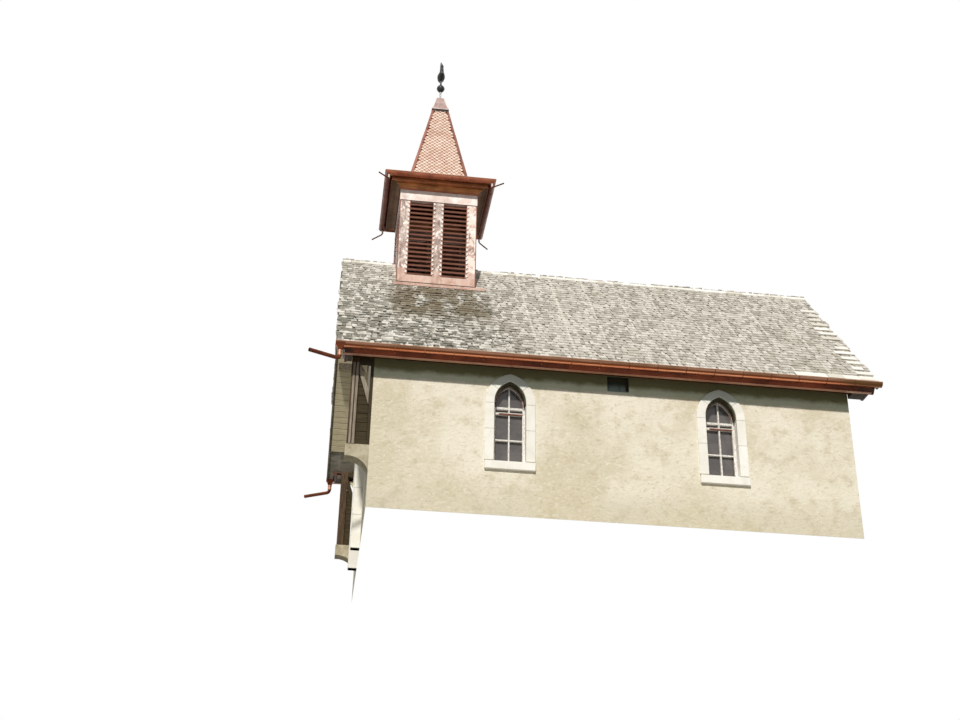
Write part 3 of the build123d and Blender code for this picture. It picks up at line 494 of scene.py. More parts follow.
# %% Build the course tree
class Grower(Wiring):
    """A geometry node tree with named inputs."""

    def __init__(self, name, **inputs):
        super().__init__(bpy.data.node_groups.new(name, "GeometryNodeTree"))
        kinds = {float: "Float", int: "Int", tuple: "Vector"}
        self.key = {}
        self.socket("Piece", "Geometry")
        self.socket("Result", "Geometry", "OUTPUT")
        for label, value in inputs.items():
            self.socket(label, kinds[type(value)]).default_value = value
        self.socket("finish", "Material")
        self.given = self.tree.nodes.new("NodeGroupInput").outputs

    def socket(self, label, kind, way="INPUT"):
        face = self.tree.interface
        made = face.new_socket(label, in_out=way, socket_type="NodeSocket" + kind)
        self.key[label] = made.identifier
        return made

    def vector(self, x=0.0, y=0.0, z=0.0):
        return self.step("ShaderNodeCombineXYZ", {0: x, 1: y, 2: z})

    def chance(self, index, salt, low=-1.0, high=1.0):
        """A random number for each point, always the same for the same seed."""
        seed = self.sums("ADD", self.given["seed"], salt)
        feeds = {2: low, 3: high, "ID": index, "Seed": seed}
        return self.step("FunctionNodeRandomValue", feeds, out=1, data_type="FLOAT")

    def close(self, geometry):
        solid = self.step("GeometryNodeRealizeInstances", {0: geometry})
        feeds = {"Geometry": solid, "Material": self.given["finish"]}
        self.step("NodeGroupOutput", {0: self.step("GeometryNodeSetMaterial", feeds)})


def course_tree():
    made = Grower(
        "laid_courses", columns=1, rows=1, column_pitch=0.1, row_pitch=0.1, stagger=0.0,
        half_width=100.0, taper=0.0, slip=0.0, sway=0.0, lift=0.0, width_change=0.0,
        wave=0.0, left_out=0.0, origin=(0.0, 0.0, 0.0), facing=(0.0, 0.0, 0.0), seed=1,
    )
    given, sums, times, step = made.given, made.sums, made.times, made.step
    vector, chance = made.vector, made.chance
    points = step("GeometryNodePoints", {"Count": times(given["columns"], given["rows"])})
    index = step("GeometryNodeInputIndex")
    row = sums("FLOOR", sums("DIVIDE", sums("ADD", index, 0.5), given["columns"]))
    column = sums("SUBTRACT", index, times(row, given["columns"]))
    middle = times(sums("SUBTRACT", given["columns"], 1.0), 0.5)
    odd = times(sums("FLOORED_MODULO", row, 2.0), given["stagger"])
    from_middle = sums("ADD", sums("SUBTRACT", column, middle), odd)
    across = times(from_middle, given["column_pitch"])
    x = sums("MULTIPLY_ADD", chance(index, 1), given["slip"], across)
    wander = vector(times(across, 0.9), times(row, 0.37), given["seed"])
    swell = step("ShaderNodeTexNoise", {"Vector": wander, "Scale": 1.0, "Detail": 2.0})
    drift = times(sums("SUBTRACT", swell, 0.5), given["wave"])
    slump = times(chance(index, 2), times(given["slip"], 0.5))
    y = sums("ADD", times(row, given["row_pitch"]), sums("ADD", drift, slump))
    placed = step("GeometryNodeSetPosition", {"Geometry": points, "Position": vector(x, y)})
    feeds = {"Geometry": placed, "Name": "tone", "Value": chance(index, 3, 0.0)}
    toned = step("GeometryNodeStoreNamedAttribute", feeds, data_type="FLOAT", domain="POINT")
    edge = sums("SUBTRACT", given["half_width"], times(given["taper"], y))
    outside = sums("GREATER_THAN", sums("ABSOLUTE", x), edge)
    missing = sums("LESS_THAN", chance(index, 4, 0.0), given["left_out"])
    feeds = {"Geometry": toned, "Selection": sums("MAXIMUM", outside, missing)}
    kept = step("GeometryNodeDeleteGeometry", feeds, domain="POINT")
    tilt = times(chance(index, 5, 0.0), given["lift"], -1.0)
    turn = times(chance(index, 6), given["sway"])
    wide = sums("MULTIPLY_ADD", chance(index, 7), given["width_change"], 1.0)
    laid = step("GeometryNodeInstanceOnPoints", {
        "Points": kept, "Instance": given["Piece"],
        "Rotation": vector(tilt, 0.0, turn), "Scale": vector(wide, 1.0, 1.0),
    })
    feeds = {"Geometry": laid, "Translation": given["origin"], "Rotation": given["facing"]}
    made.close(step("GeometryNodeTransform", feeds))
    return made


courses = course_tree()
print("course tree inputs:", list(courses.key))

# %% Lay a sheet of pieces with the tree
def solid_from(corners, faces):
    """A closed mesh from corner points and faces, its faces turned outwards."""
    mesh = bpy.data.meshes.new("single_piece")
    mesh.from_pydata([tuple(c) for c in corners], [], faces)
    shaper = bmesh.new()
    shaper.from_mesh(mesh)
    bmesh.ops.remove_doubles(shaper, verts=shaper.verts, dist=1e-6)
    bmesh.ops.recalc_face_normals(shaper, faces=shaper.faces)
    shaper.to_mesh(mesh)
    shaper.free()
    return mesh


def show(name, data):
    piece = bpy.data.objects.new(name, data)
    bpy.context.scene.collection.objects.link(piece)
    return piece


def lay(name, mesh, finish, **sizes):
    """Runs the course tree on one piece and returns the whole sheet as a plain mesh."""
    piece = show(name, mesh)
    modifier = piece.modifiers.new("courses", "NODES")
    modifier.node_group = courses.tree
    for label, value in sizes.items():
        modifier[courses.key[label]] = value
    modifier[courses.key["finish"]] = finishes[finish].material
    bpy.context.view_layer.update()
    ready = piece.evaluated_get(bpy.context.evaluated_depsgraph_get())
    plain = bpy.data.meshes.new_from_object(ready)
    piece.modifiers.clear()
    piece.data = plain
    plain.name = name
    return piece


def settle(piece, body="building", replaces=()):
    """Hands a finished piece to the frame."""
    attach(piece, body)
    if replaces:
        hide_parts(*replaces)
    print(piece.name, "faces", len(piece.data.polygons))


def join(name, pieces, finish, replaces=()):
    """Several sheets as one piece in one finish, handed to the frame."""
    mesh = bpy.data.meshes.new(name)
    shaper = bmesh.new()
    for piece in pieces:
        shaper.from_mesh(piece.data)
        bpy.data.objects.remove(piece)
    for face in shaper.faces:
        face.material_index = 0
    shaper.to_mesh(mesh)
    shaper.free()
    mesh.materials.append(finishes[finish].material)
    settle(show(name, mesh), replaces=replaces)


# %% [markdown]
# ## A mould for single pieces
# What is cut or cast one by one is gathered in a mould: flat outlines pushed to a
# thickness, with their sharp edges taken off, and round bars that follow a line. Each
# piece keeps its own tone, as the laid pieces do.

# %% Prisms and bars in one mesh
class Mould:
    """Closed solids gathered in one mesh, each with its own tone."""

    def __init__(self):
        self.shaper = bmesh.new()
        self.tone = self.shaper.verts.layers.float.new("tone")
        self.dice = random.Random(5)

    def ring(self, points, shade):
        made = [self.shaper.verts.new(point) for point in points]
        for corner in made:
            corner[self.tone] = shade
        return made

    def prism(self, outline, along, tone=None, softened=0.0, place=None):
        """A flat outline pushed along a direction, its sharp edges softened. With a
        place function the outline is (across, up) and the function puts it there."""
        shade = self.dice.random() if tone is None else tone
        if place:
            outline = [place(*point) for point in outline]
        near = self.ring([Vector(point) for point in outline], shade)
        far = self.ring([Vector(point) + Vector(along) for point in outline], shade)
        made = [self.shaper.faces.new(near), self.shaper.faces.new(far[::-1])]
        for one, two in zip(range(len(near)), [*range(1, len(near)), 0]):
            made.append(self.shaper.faces.new((near[one], far[one], far[two], near[two])))
        bmesh.ops.recalc_face_normals(self.shaper, faces=made)
        if softened:
            edges = dict.fromkeys(edge for face in made for edge in face.edges)
            sharp = [edge for edge in edges if edge.calc_face_angle(0) > 0.6]
            bmesh.ops.bevel(
                self.shaper, geom=sharp, offset=softened, segments=1, affect="EDGES",
                clamp_overlap=True)

    def beam(self, outline, start, length, side=1, tone=None, softened=0.0):
        """A prism that lies along X; the outline is (outward, up)."""
        self.prism(
            outline, (length, 0, 0), tone, softened, lambda out, up: (start, side * out, up))

    def plate(self, outline, side, face, thick, softened=0.0):
        """A prism on a long wall, pushed outwards; the outline is (x, up)."""
        self.prism(
            outline, (0, side * thick, 0), None, softened, lambda x, up: (x, side * face, up))

    def end_plate(self, outline, face, thick, softened, base=0.0):
        """A prism on the west gable, pushed to the west; the outline is (y, up)."""
        self.prism(
            outline, (-thick, 0, 0), None, softened, lambda y, up: (face, y, base + up))

    def bar(self, path, radius, tone=None, sides=8, closed=False):
        """A round bar along a line of points."""
        shade = self.dice.random() if tone is None else tone
        points = [Vector(point) for point in path]
        rings = []
        for number, point in enumerate(points):
            before = points[number - 1] if number or closed else point
            ends_here = number + 1 == len(points) and not closed
            after = point if ends_here else points[(number + 1) % len(points)]
            ahead = (after - before).normalized()
            aside = ahead.cross(Vector((0.13, 0.31, 0.94))).normalized()
            upward = aside.cross(ahead)
            turns = [2 * math.pi * step / sides for step in range(sides)]
            rings.append(self.ring([
                point + radius * (math.cos(turn) * aside + math.sin(turn) * upward)
                for turn in turns], shade))
        made = []
        for one, two in zip(rings, rings[1:] + (rings[:1] if closed else [])):
            for step in range(sides):
                after = (step + 1) % sides
                face = (one[step], one[after], two[after], two[step])
                made.append(self.shaper.faces.new(face))
        if not closed:
            made += [self.shaper.faces.new(rings[0][::-1]), self.shaper.faces.new(rings[-1])]
        bmesh.ops.recalc_face_normals(self.shaper, faces=made)

    def post(self, x, y, start, end, radius, tone=None, sides=8):
        """An upright bar from one height to another."""
        self.bar([(x, y, start), (x, y, end)], radius, tone, sides)

    def mesh(self, name="single_piece"):
        plain = bpy.data.meshes.new(name)
        self.shaper.to_mesh(plain)
        self.shaper.free()
        return plain

    def cast(self, name, finish, slot, body="building", replaces=()):
        """Empties the mould and hands its piece to the frame."""
        piece = show(name, self.mesh(name))
        piece.data.materials.append(finishes[finish].material)
        settle(piece, body, replaces)


def profile_piece(outline, length, softened=0.0):
    """A straight piece with its length along X; the outline is (up, outward)."""
    mould = Mould()
    mould.beam(outline, -length / 2, length, 1, 0.5, softened)
    return mould.mesh()


def block(start, end, low, high):
    """The four corners of an upright rectangle."""
    return [(start, low), (end, low), (end, high), (start, high)]


def circle(radius, up=0.0, out=0.0, sides=8):
    """Points of a circle, for a rolled edge."""
    turns = [2 * math.pi * step / sides for step in range(sides)]
    return [(up + radius * math.cos(turn), out + radius * math.sin(turn)) for turn in turns]


def strap(radius, gap=0.0006, thickness=0.004, first=-50, last=94, steps=9):
    """A band bent round the underside of a gutter, from one angle to another."""
    turns = [math.radians(first + (last - first) * step / steps) for step in range(steps + 1)]
    outer, inner = (
        [(-reach * math.cos(turn), reach * math.sin(turn)) for turn in turns]
        for reach in (radius + gap + thickness, radius + gap))
    return outer + inner[::-1]


print("mould ready")

# %% [markdown]
# ## Shingles
# A split shingle is a thin wedge: thick at the butt that shows, thin at the head that
# is nailed under the next courses. Laid with about 14 cm showing, each covers the
# joints of the course below. The slab under them stays the carrier. Over the damp
# west end lies a loose second row: old shingles that have curled up and slipped.

# %% Shingled slopes
def wedge(width, length, butt, head, seat):
    """A tapered board: its thick end is at y = 0, lifted onto the course below."""
    half, tip = width / 2, seat + butt
    corners = [
        (-half, 0, seat), (half, 0, seat), (half, length, 0), (-half, length, 0),
        (-half, 0, tip), (half, 0, tip), (half, length, head), (-half, length, head),
    ]
    faces = [(0, 1, 2, 3), (4, 5, 6, 7), (0, 1, 5, 4), (1, 2, 6, 5), (2, 3, 7, 6), (3, 0, 4, 7)]
    return solid_from(corners, faces)


COURSE, SHINGLE, OVER_EAVE = 0.143, 0.092, 0.045
roof_middle = (ROOF_WEST + ROOF_EAST) / 2
roof_half = (ROOF_EAST - ROOF_WEST) / 2 + 0.028
eave_line = EAVE_Y + OVER_EAVE * math.cos(PITCH)
eave_height = RIDGE - eave_line * SLOPE
course_count = int((eave_line / math.cos(PITCH)) / COURSE)


def facing(side, tilt=PITCH):
    """Turns a sheet onto the front (-1) or the back (1) of the building."""
    return (tilt, 0.0, 0.0 if side < 0 else math.pi)


def from_eave(side, x):
    """Starts a sheet at the eave of one slope."""
    return {"origin": (x, side * eave_line, eave_height), "facing": facing(side)}


for name, side, seed in (("front", -1, 11), ("back", 1, 12)):
    slope = lay(
        name + "_shingles", wedge(SHINGLE, 0.30, butt=0.013, head=0.003, seat=0.011),
        "weathered_shingle",
        columns=int(2 * roof_half / SHINGLE) + 1, rows=course_count, stagger=0.5,
        column_pitch=SHINGLE + 0.002, row_pitch=COURSE, half_width=roof_half - SHINGLE / 2,
        slip=0.032, sway=0.055, lift=0.03, width_change=0.2, wave=0.05, seed=seed,
        **from_eave(side, roof_middle),
    )
    settle(slope)
print("courses", course_count)

# %% Curled shingles at the west end
curled = [
    lay(
        "curled", wedge(0.135, 0.21, butt=0.014, head=0.004, seat=0.024), "weathered_shingle",
        columns=25, rows=22, column_pitch=0.17, row_pitch=0.155, stagger=0.5,
        half_width=1.95, taper=0.25, slip=0.06, sway=0.11, lift=0.10, width_change=0.3,
        wave=0.12, left_out=0.55, seed=seed, **from_eave(side, ROOF_WEST + 2.0),
    )
    for side, seed in ((-1, 15), (1, 16))
]
join("curled_shingles", curled, "weathered_shingle")

# %% [markdown]
# The two slopes end in trimmings of newer, paler wood: wide shingles along the east
# verge, a row of them at the eave, and short boards laid up to the ridge from both
# sides.

# %% Pale trimmings
RIDGE_BOARD, RIDGE_STEP = 0.17, 0.19
verge_pieces, ridge_pieces = [], []
for side, seed in ((-1, 21), (1, 22)):
    verge_pieces.append(lay(
        "verge", wedge(0.31, 0.17, butt=0.017, head=0.030, seat=0.027), "pale_shingle",
        rows=15, row_pitch=2 * COURSE, slip=0.05, sway=0.02, width_change=0.35, left_out=0.08,
        seed=seed, **from_eave(side, ROOF_EAST - 0.215),
    ))
    verge_pieces.append(lay(
        "eave", wedge(0.33, 0.23, butt=0.017, head=0.028, seat=0.024), "pale_shingle",
        columns=5, column_pitch=0.335, slip=0.01, sway=0.01, seed=seed + 4,
        **from_eave(side, ROOF_EAST - 0.87),
    ))
    for start, end, salt in (
        (ROOF_WEST, TURRET_X - TURRET_HALF - 0.08, 31),
        (TURRET_X + TURRET_HALF + 0.08, ROOF_EAST, 41),
    ):
        count = max(1, round((end - start) / RIDGE_STEP))
        pitch = (end - start) / count
        down, drop = RIDGE_BOARD * math.cos(PITCH), RIDGE_BOARD * math.sin(PITCH)
        ridge_pieces.append(lay(
            "ridge", wedge(pitch - 0.004, RIDGE_BOARD, butt=0.02, head=0.026, seat=0.012),
            "pale_shingle", columns=count, column_pitch=pitch, slip=0.006, sway=0.015,
            width_change=0.02, lift=0.02, origin=((start + end) / 2, side * down, RIDGE - drop),
            facing=facing(side), seed=seed + salt,
        ))
join("pale_verge_shingles", verge_pieces, "pale_shingle")
join("ridge_boards", ridge_pieces, "pale_shingle", ["ridge_caps"])

# %% [markdown]
# ## Spire scales
# The spire is clad in diamond-shaped copper scales, each folded over the one below.
# The rows are half a scale apart, so the joints make the net that shows from afar.

# %% Diamond scales on four faces
scaly = Finish("scale_copper", (224, 188, 168), roughness=0.5, metallic=0.2, specular=0.4)
scaly.coat((242, 218, 202), scaly.tone())
scaly.stain((184, 132, 110), scaly.noise(1.4, 5), 0.5, 0.8, 0, 0.5)
scaly.dent(scaly.noise(28, 3), 0.003, 0.5)

spire_low, spire_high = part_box("spire")
cap_low, cap_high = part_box("spire_cap")
SPIRE_HALF = (spire_high.x - spire_low.x) / 2
SPIRE_FOOT = spire_low.z
APEX_RISE = 3.46
SCALE_WIDTH, SCALE_ROW, LAP = 0.1155, 0.0518, 0.92
face_length = math.hypot(APEX_RISE, SPIRE_HALF)
face_turn = math.atan2(APEX_RISE, SPIRE_HALF)
scale_rows = int((cap_low.z - SPIRE_FOOT) / math.sin(face_turn) / SCALE_ROW)


def diamond(width, height, seat, fold):
    """A scale with its four edges folded down and a faint crease to its middle."""
    ring = [(0, 0), (width / 2, height / 2), (0, height), (-width / 2, height / 2)]
    lifts = [seat, seat * 0.6, 0.0, seat * 0.6]
    corners = [(x, y, z + 0.004) for (x, y), z in zip(ring, lifts)]
    corners += [(x, y, z - fold) for (x, y), z in zip(ring, lifts)]
    corners.append((0, height / 2, seat * 0.55 + 0.007))
    faces = [(i, (i + 1) % 4, 8) for i in range(4)]
    faces += [(i, (i + 1) % 4, 4 + (i + 1) % 4, 4 + i) for i in range(4)] + [(4, 5, 6, 7)]
    return solid_from(corners, faces)


def turned_out(quarter, reach, height, tilt):
    """Starts a sheet on one of the four faces round the turret's middle."""
    angle = quarter * UPRIGHT
    x, y = TURRET_X + reach * math.sin(angle), -reach * math.cos(angle)
    return {"origin": (x, y, height), "facing": (tilt, 0.0, angle)}


scales = [
    lay(
        "scales", diamond(SCALE_WIDTH * LAP, 2 * SCALE_ROW * LAP, 0.016, 0.004), "scale_copper",
        columns=19, rows=scale_rows, column_pitch=SCALE_WIDTH, row_pitch=SCALE_ROW,
        stagger=0.5, half_width=SPIRE_HALF - 0.045, taper=SPIRE_HALF / face_length,
        sway=0.006, seed=51 + quarter, **turned_out(quarter, SPIRE_HALF, SPIRE_FOOT, face_turn),
    )
    for quarter in range(4)
]
join("spire_scales", scales, "scale_copper")
print("spire foot", round(SPIRE_HALF, 3), "face", round(face_length, 3), "rows", scale_rows)

# %% [markdown]
# Along each hip a wider folded strip covers the ends of the scales. It is laid in
# lengths, each lapped under the next, and it has browned more than the scales. The
# cap over the point gets rolled edges, because a cut sheet edge would tear; their
# near-white colour is a painted highlight. Under its rim a dark skirt closes the gap
# to the scales, and its dark colour is painted shade.

# %% Hip strips, the rolled edges of the cap and its skirt
HIP_WING, HIP_LENGTHS, HIP_FALL = 0.046, 6, 0.58
RIM, RIM_Z, CAP_TOP = (cap_high.x - cap_low.x) / 2, cap_low.z + 0.006, 0.088


def hip_strip(mould, foot, head):
    """A folded strip over one hip of a pyramid, in lapped lengths."""
    ahead = (head - foot).normalized()
    flat = Vector((foot.x - TURRET_X, foot.y, 0)).normalized()
    out = (flat - ahead * flat.dot(ahead)).normalized()
    aside = ahead.cross(out)
    for number in range(HIP_LENGTHS):
        start = foot.lerp(head, number / HIP_LENGTHS)
        lap = 1.04 if number < HIP_LENGTHS - 1 else 1
        top = 0.018 + 0.003 * (number % 2)
        width = HIP_WING * (1 - 0.35 * number / HIP_LENGTHS)
        fold = ((-1, 0.0), (-1, top), (0, top + 0.012), (1, top), (1, 0.0), (0, -0.006))
        outline = [
            start + aside * width * side + out * (height - abs(width * side) * HIP_FALL)
            for side, height in fold]
        mould.prism(outline, (head - foot) * (lap / HIP_LENGTHS), softened=0.002)


def corner(east, north, half, height):
    """A place over one corner of a square round the turret's middle."""
    return Vector((TURRET_X + east * half, north * half, height))


hips, rolls, skirt = Mould(), Mould(), Mould()
top_half = SPIRE_HALF * (1 - (cap_low.z - SPIRE_FOOT) / APEX_RISE)
for east, north in CORNERS:
    hip_strip(
        hips, corner(east, north, SPIRE_HALF, SPIRE_FOOT + 0.004),
        corner(east, north, top_half, cap_low.z - 0.012))
    for near, far, radius in (
        ((east, north, RIM, RIM_Z), (-north, east, RIM, RIM_Z), 0.010),
        ((east, north, 0.181, cap_low.z + 0.05), (east, north, CAP_TOP, cap_high.z), 0.013),
        ((east, north, CAP_TOP, cap_high.z), (-north, east, CAP_TOP, cap_high.z), 0.009),
    ):
        rolls.bar([corner(*near), corner(*far)], radius)
# Painted shade: the dark skirt under the cap's rim.
for half, low, high in ((0.206, -0.072, 0.002), (0.188, -0.105, -0.070)):
    square = [corner(east, north, half, cap_low.z + low) for east, north in CORNERS]
    skirt.prism(square, (0, 0, high - low), softened=0.004)
skirt.cast("cap_shade_skirt", "skirt_copper", "dark_copper")
hips.cast("spire_hips", "hip_copper", "brown_copper")
# Painted highlight: the rolled edges of the cap are near white.
rolls.cast("cap_rolls", "tab_copper", "pale_copper")

# %% [markdown]
# ## Stone blocks round the windows
# A mason frames a pointed window with a few large blocks: two jamb stones and a curved
# haunch on each side, one crown over the point, and a sill that throws the rain off.
# The blocks are cut along two pointed arches, so one function gives the points of an
# arch and the rest is choosing where the joints fall. Mortar sits a little behind.

# %% Points of a pointed arch
def arch_point(half, rise, share, inset=0.0):
    """A point on the left half of a pointed arch: share 0 is its spring, 1 its apex."""
    radius = (half ** 2 + rise ** 2) / (2 * half)
    centre = radius - half
    own = radius - inset
    angle = share * math.acos(centre / own)
    return centre - own * math.cos(angle), own * math.sin(angle)


def left_edge(half, rise, start, end, inset=0.0):
    """Left edge of an opening. Marks under 0 are metres below the spring, marks over
    0 are shares of the arch."""
    marks = sorted({start, end, *(step / 8 for step in range(9) if start < step / 8 < end)})
    return [
        (-half + inset, mark) if mark < 0 else arch_point(half, rise, mark, inset)
        for mark in marks]


def arch(shape, start, inset=0.0):
    """A whole opening from left to right: its left edge and the mirror image."""
    edge = left_edge(*shape, start, 1, inset)
    return edge + [(-across, up) for across, up in edge[-2::-1]]


def stone_frame(mould, place, along, inner, outer, joints):
    """Blocks on both sides of a pointed opening and one crown over it."""
    def gap(mark):
        return 0.002 if mark < 0 else 0.004

    for side in SIDES:
        for start, end in zip(joints, joints[1:]):
            first, last = start + gap(start), end - gap(end)
            outline = left_edge(*inner, first, last) + left_edge(*outer, first, last)[::-1]
            outline = [(-side * across, up) for across, up in outline]
            mould.prism(outline, along, None, 0.006, place)
    first = joints[-1] + gap(joints[-1])
    mould.prism(arch(inner, first) + arch(outer, first)[::-1], along, None, 0.006, place)


def mortar_frame(mould, place, along, inner, outer, foot):
    """The bed behind the blocks, a little smaller all round."""
    outline = arch(inner, foot, -0.005) + arch(outer, foot, 0.005)[::-1]
    mould.prism(outline, along, 0.5, 0.0, place)


print("arch apex", [round(v, 3) for v in arch_point(0.31, 0.445, 1)])

# %% Four window surrounds
WINDOW_X, WINDOW_FOOT, WINDOW_SPRING = 2.09, 1.10, 2.34
OPENING, OUTER = (0.31, 0.445), (0.4875, 0.595)
WINDOW_JOINTS = (WINDOW_FOOT - WINDOW_SPRING, -0.595, -0.05, 0.46)
SILL = [(3.062, 0.912), (3.062, 1.076), (2.87, 1.101), (2.80, 1.101), (2.80, 0.912)]


def on_long_wall(middle, side, face):
    """Places (across, up) of a window on the front or back wall."""
    return lambda across, up: (middle + across, side * face, WINDOW_SPRING + up)


beds = Mould()
for name, side in (("front", -1), ("back", 1)):
    blocks = Mould()
    for middle in (-WINDOW_X, WINDOW_X):
        face, bed = (on_long_wall(middle, side, out) for out in (3.028, 3.021))
        stone_frame(blocks, face, (0, -side * 0.222, 0), OPENING, OUTER, WINDOW_JOINTS)
        mortar_frame(beds, bed, (0, -side * 0.21, 0), OPENING, OUTER, WINDOW_JOINTS[0])
        blocks.beam(SILL, middle - OUTER[0], 2 * OUTER[0], side, softened=0.007)
    blocks.cast(
        name + "_stone_blocks", "dressed_stone", "dressed_stone",
        replaces=[name + "_window_surrounds"])
beds.cast("surround_mortar", "mortar", "dressed_stone")

# %% [markdown]
# ## Window joinery
# The frames and glass come from the solids. A joiner adds what keeps the rain out: a
# weather bar on the casement rail, whose primed underside shows red brown, thin beads
# that hold the glass in the arch, and a lining round the head of the opening, painted
# dark as shade.

# %% Weather bars, glazing beads and linings
FRAME_FACE = 2.853
NOSE = [(2.851, 2.176), (2.872, 2.164), (2.874, 2.150), (2.851, 2.150)]
UNDERSIDE = [(2.851, 2.149), (2.870, 2.149), (2.866, 2.128), (2.851, 2.124)]
primer = Finish("red_primer", (150, 92, 74), roughness=0.7, specular=0.25)
primer.stain((112, 70, 58), primer.noise(14, 4), 0.4, 0.62)
# Painted shade: the dark lining round the head of each arch.
two_tone("arch_paint", (58, 54, 38), (80, 76, 56), 8, roughness=0.7, specular=0.2)
bars, beads, linings = Mould(), Mould(), Mould()
for side in SIDES:
    for middle in (-WINDOW_X, WINDOW_X):
        place = on_long_wall(middle, side, FRAME_FACE)
        bars.beam(NOSE, middle - 0.205, 0.467, side, softened=0.002)
        beads.beam(UNDERSIDE, middle - 0.195, 0.45, side)
        for mould, inset, radius in ((beads, 0.046, 0.007), (bars, 0.020, 0.006)):
            mould.bar([place(*point) for point in arch(OPENING, -0.06, inset)], radius, sides=6)
        stile = middle + 0.262
        bars.post(stile, side * FRAME_FACE, WINDOW_FOOT + 0.05, 2.125, 0.006, sides=6)
        outline = arch(OPENING, -0.03, 0.001) + arch(OPENING, -0.03, 0.032)[::-1]
        linings.prism(outline, (0, side * 0.135, 0), None, 0.003, place)
bars.cast("weather_bars", "painted_window_timber", "painted_window_timber")
beads.cast("primed_beads", "red_primer", "painted_window_timber")
linings.cast("arch_shade_linings", "arch_paint", "dark_timber")

# %% [markdown]
# ## Vents
# A small two-leaf shutter closes each vent under the eaves. Each leaf is a board with
# a raised panel, painted grey green, and the pair stands on a narrow grey sill. The
# upper part of the leaves is darkened with the eave's painted shadow.

# %% Vent leaves and sills
vent_low, vent_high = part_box("vent_panels")
vent_x, vent_z = (vent_low.x + vent_high.x) / 2, (vent_low.z + vent_high.z) / 2
green = two_tone(
    "vent_paint", (138, 158, 154), (160, 178, 172), 5, roughness=0.42, specular=0.4)
# Painted shadow of the eave: the leaves darken towards the top.
green.stain((60, 66, 58), green.axis("Z"), vent_z - 0.09, vent_z + 0.07)
two_tone("ledge_paint", (112, 122, 116), (136, 144, 136), 7, roughness=0.6)
LEDGE = [(2.885, -0.002), (2.885, 0.022), (3.012, 0.010), (3.012, -0.006)]
leaves, ledges = Mould(), Mould()
for side in SIDES:
    for start, end in ((-0.174, 0.046), (0.052, 0.174)):
        for inset, face, thick in ((0.0, 2.886, 0.016), (0.024, 2.902, 0.006)):
            half = 0.122 - inset
            west, east = vent_x + start + inset, vent_x + end - inset
            leaf = block(west, east, vent_z - half, vent_z + half)
            leaves.plate(leaf, side, face, thick, 0.003)
    for hinge in (vent_z - 0.08, vent_z + 0.08):
        leaves.post(vent_x - 0.176, side * 2.904, hinge - 0.02, hinge + 0.02, 0.007)
    nose = [(out, vent_low.z + up) for out, up in LEDGE]
    ledges.beam(nose, vent_x - 0.214, 0.428, side, softened=0.002)
leaves.cast("vent_leaves", "vent_paint", "dark_timber")
ledges.cast("vent_ledges", "ledge_paint", "grey_timber")

# %% [markdown]
# ## Gutters and eave mouldings
# Sheet copper comes in short lengths. Each gutter hangs in straps at every joint, its
# rim is rolled, and the fascia behind it ends in a bright rolled bead above and a
# pale folded drip below. The pale copper of the rolled rim and the drip is partly a
# painted highlight along those edges. Each of these is one small piece in a row, so
# the course tree lays them, with a joint where the strap sits.

# %% Straps, rolls, beads and drips along the eaves
BAYS, SHEETS = 19, 18
ROLL, BEAD = 0.0095, 0.0145
STRAP_FOOT = [(-0.108, -0.0797), (-0.05, -0.0797), (-0.05, -0.062), (-0.098, -0.066)]
DRIP = [
    (-0.1605, -0.168), (-0.1640, -0.168), (-0.1640, -0.106), (-0.150, -0.107),
    (-0.150, -0.1165), (-0.1605, -0.1165),
]


class Rows:
    """Rows of copper pieces, gathered by name until each name is joined as one piece."""

    def __init__(self, **finish_of):
        self.finish_of = finish_of
        self.laid = {name: [] for name in finish_of}

    def hang(self, name, outline, length, count, pitch, seed, where, softened=0.0):
        mesh = profile_piece(outline, length, softened)
        sizes = {"columns": count, "column_pitch": pitch, "seed": seed, **where}
        self.laid[name].append(lay("row", mesh, self.finish_of[name], **sizes))

    def join(self):
        for name, pieces in self.laid.items():
            join(name, pieces, self.finish_of[name])


def rolled_rim(radius):
    """The outline of the roll along the rim of a gutter."""
    return circle(ROLL, 0.002, radius + 0.003)


# The rolls and drips are pale copper, partly a painted highlight along those edges.
eave_rows = Rows(
    gutter_straps="turret_gutter_copper", gutter_rolls="drip_copper",
    fascia_beads="brown_copper", cornice_drips="drip_copper")
for name, side, seed in (("front", -1, 71), ("back", 1, 81)):
    low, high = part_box(name + "_gutter")
    radius, rim, centre = high.z - low.z, high.z, abs(low.y + high.y) / 2
    bay = (high.x - low.x) / BAYS
    where = {"facing": facing(side, UPRIGHT), "origin": ((low.x + high.x) / 2, side * centre, rim)}
    eave_rows.hang("gutter_straps", strap(radius), 0.012, BAYS - 1, bay, seed, where)
    eave_rows.hang("gutter_straps", STRAP_FOOT, 0.02, BAYS - 1, bay, seed, where, 0.002)
    eave_rows.hang("gutter_rolls", rolled_rim(radius), bay - 0.004, BAYS, bay, seed + 1, where)
    low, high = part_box(name + "_eave_cornice")
    fold = (high.x - low.x - 0.012) / SHEETS
    where["origin"] = ((low.x + high.x) / 2, side * centre, rim)
    bead = circle(BEAD, 3.058 - rim, 3.3745 - centre)
    eave_rows.hang("fascia_beads", bead, fold - 0.003, SHEETS, fold, seed + 2, where)
    eave_rows.hang("cornice_drips", DRIP, fold - 0.003, SHEETS, fold, seed + 3, where)
eave_rows.join()

# %% [markdown]
# At both gables the eave cornice is boxed in, so that no bird nests in it. The box
# lies in deep shade, painted into its dark copper; the end of the moulding itself is
# closed by a plate of the same copper, darkened with painted shade. The spouts get two
# collars and a sleeve where they leave the gutter, in pale copper that is partly a
# painted highlight.

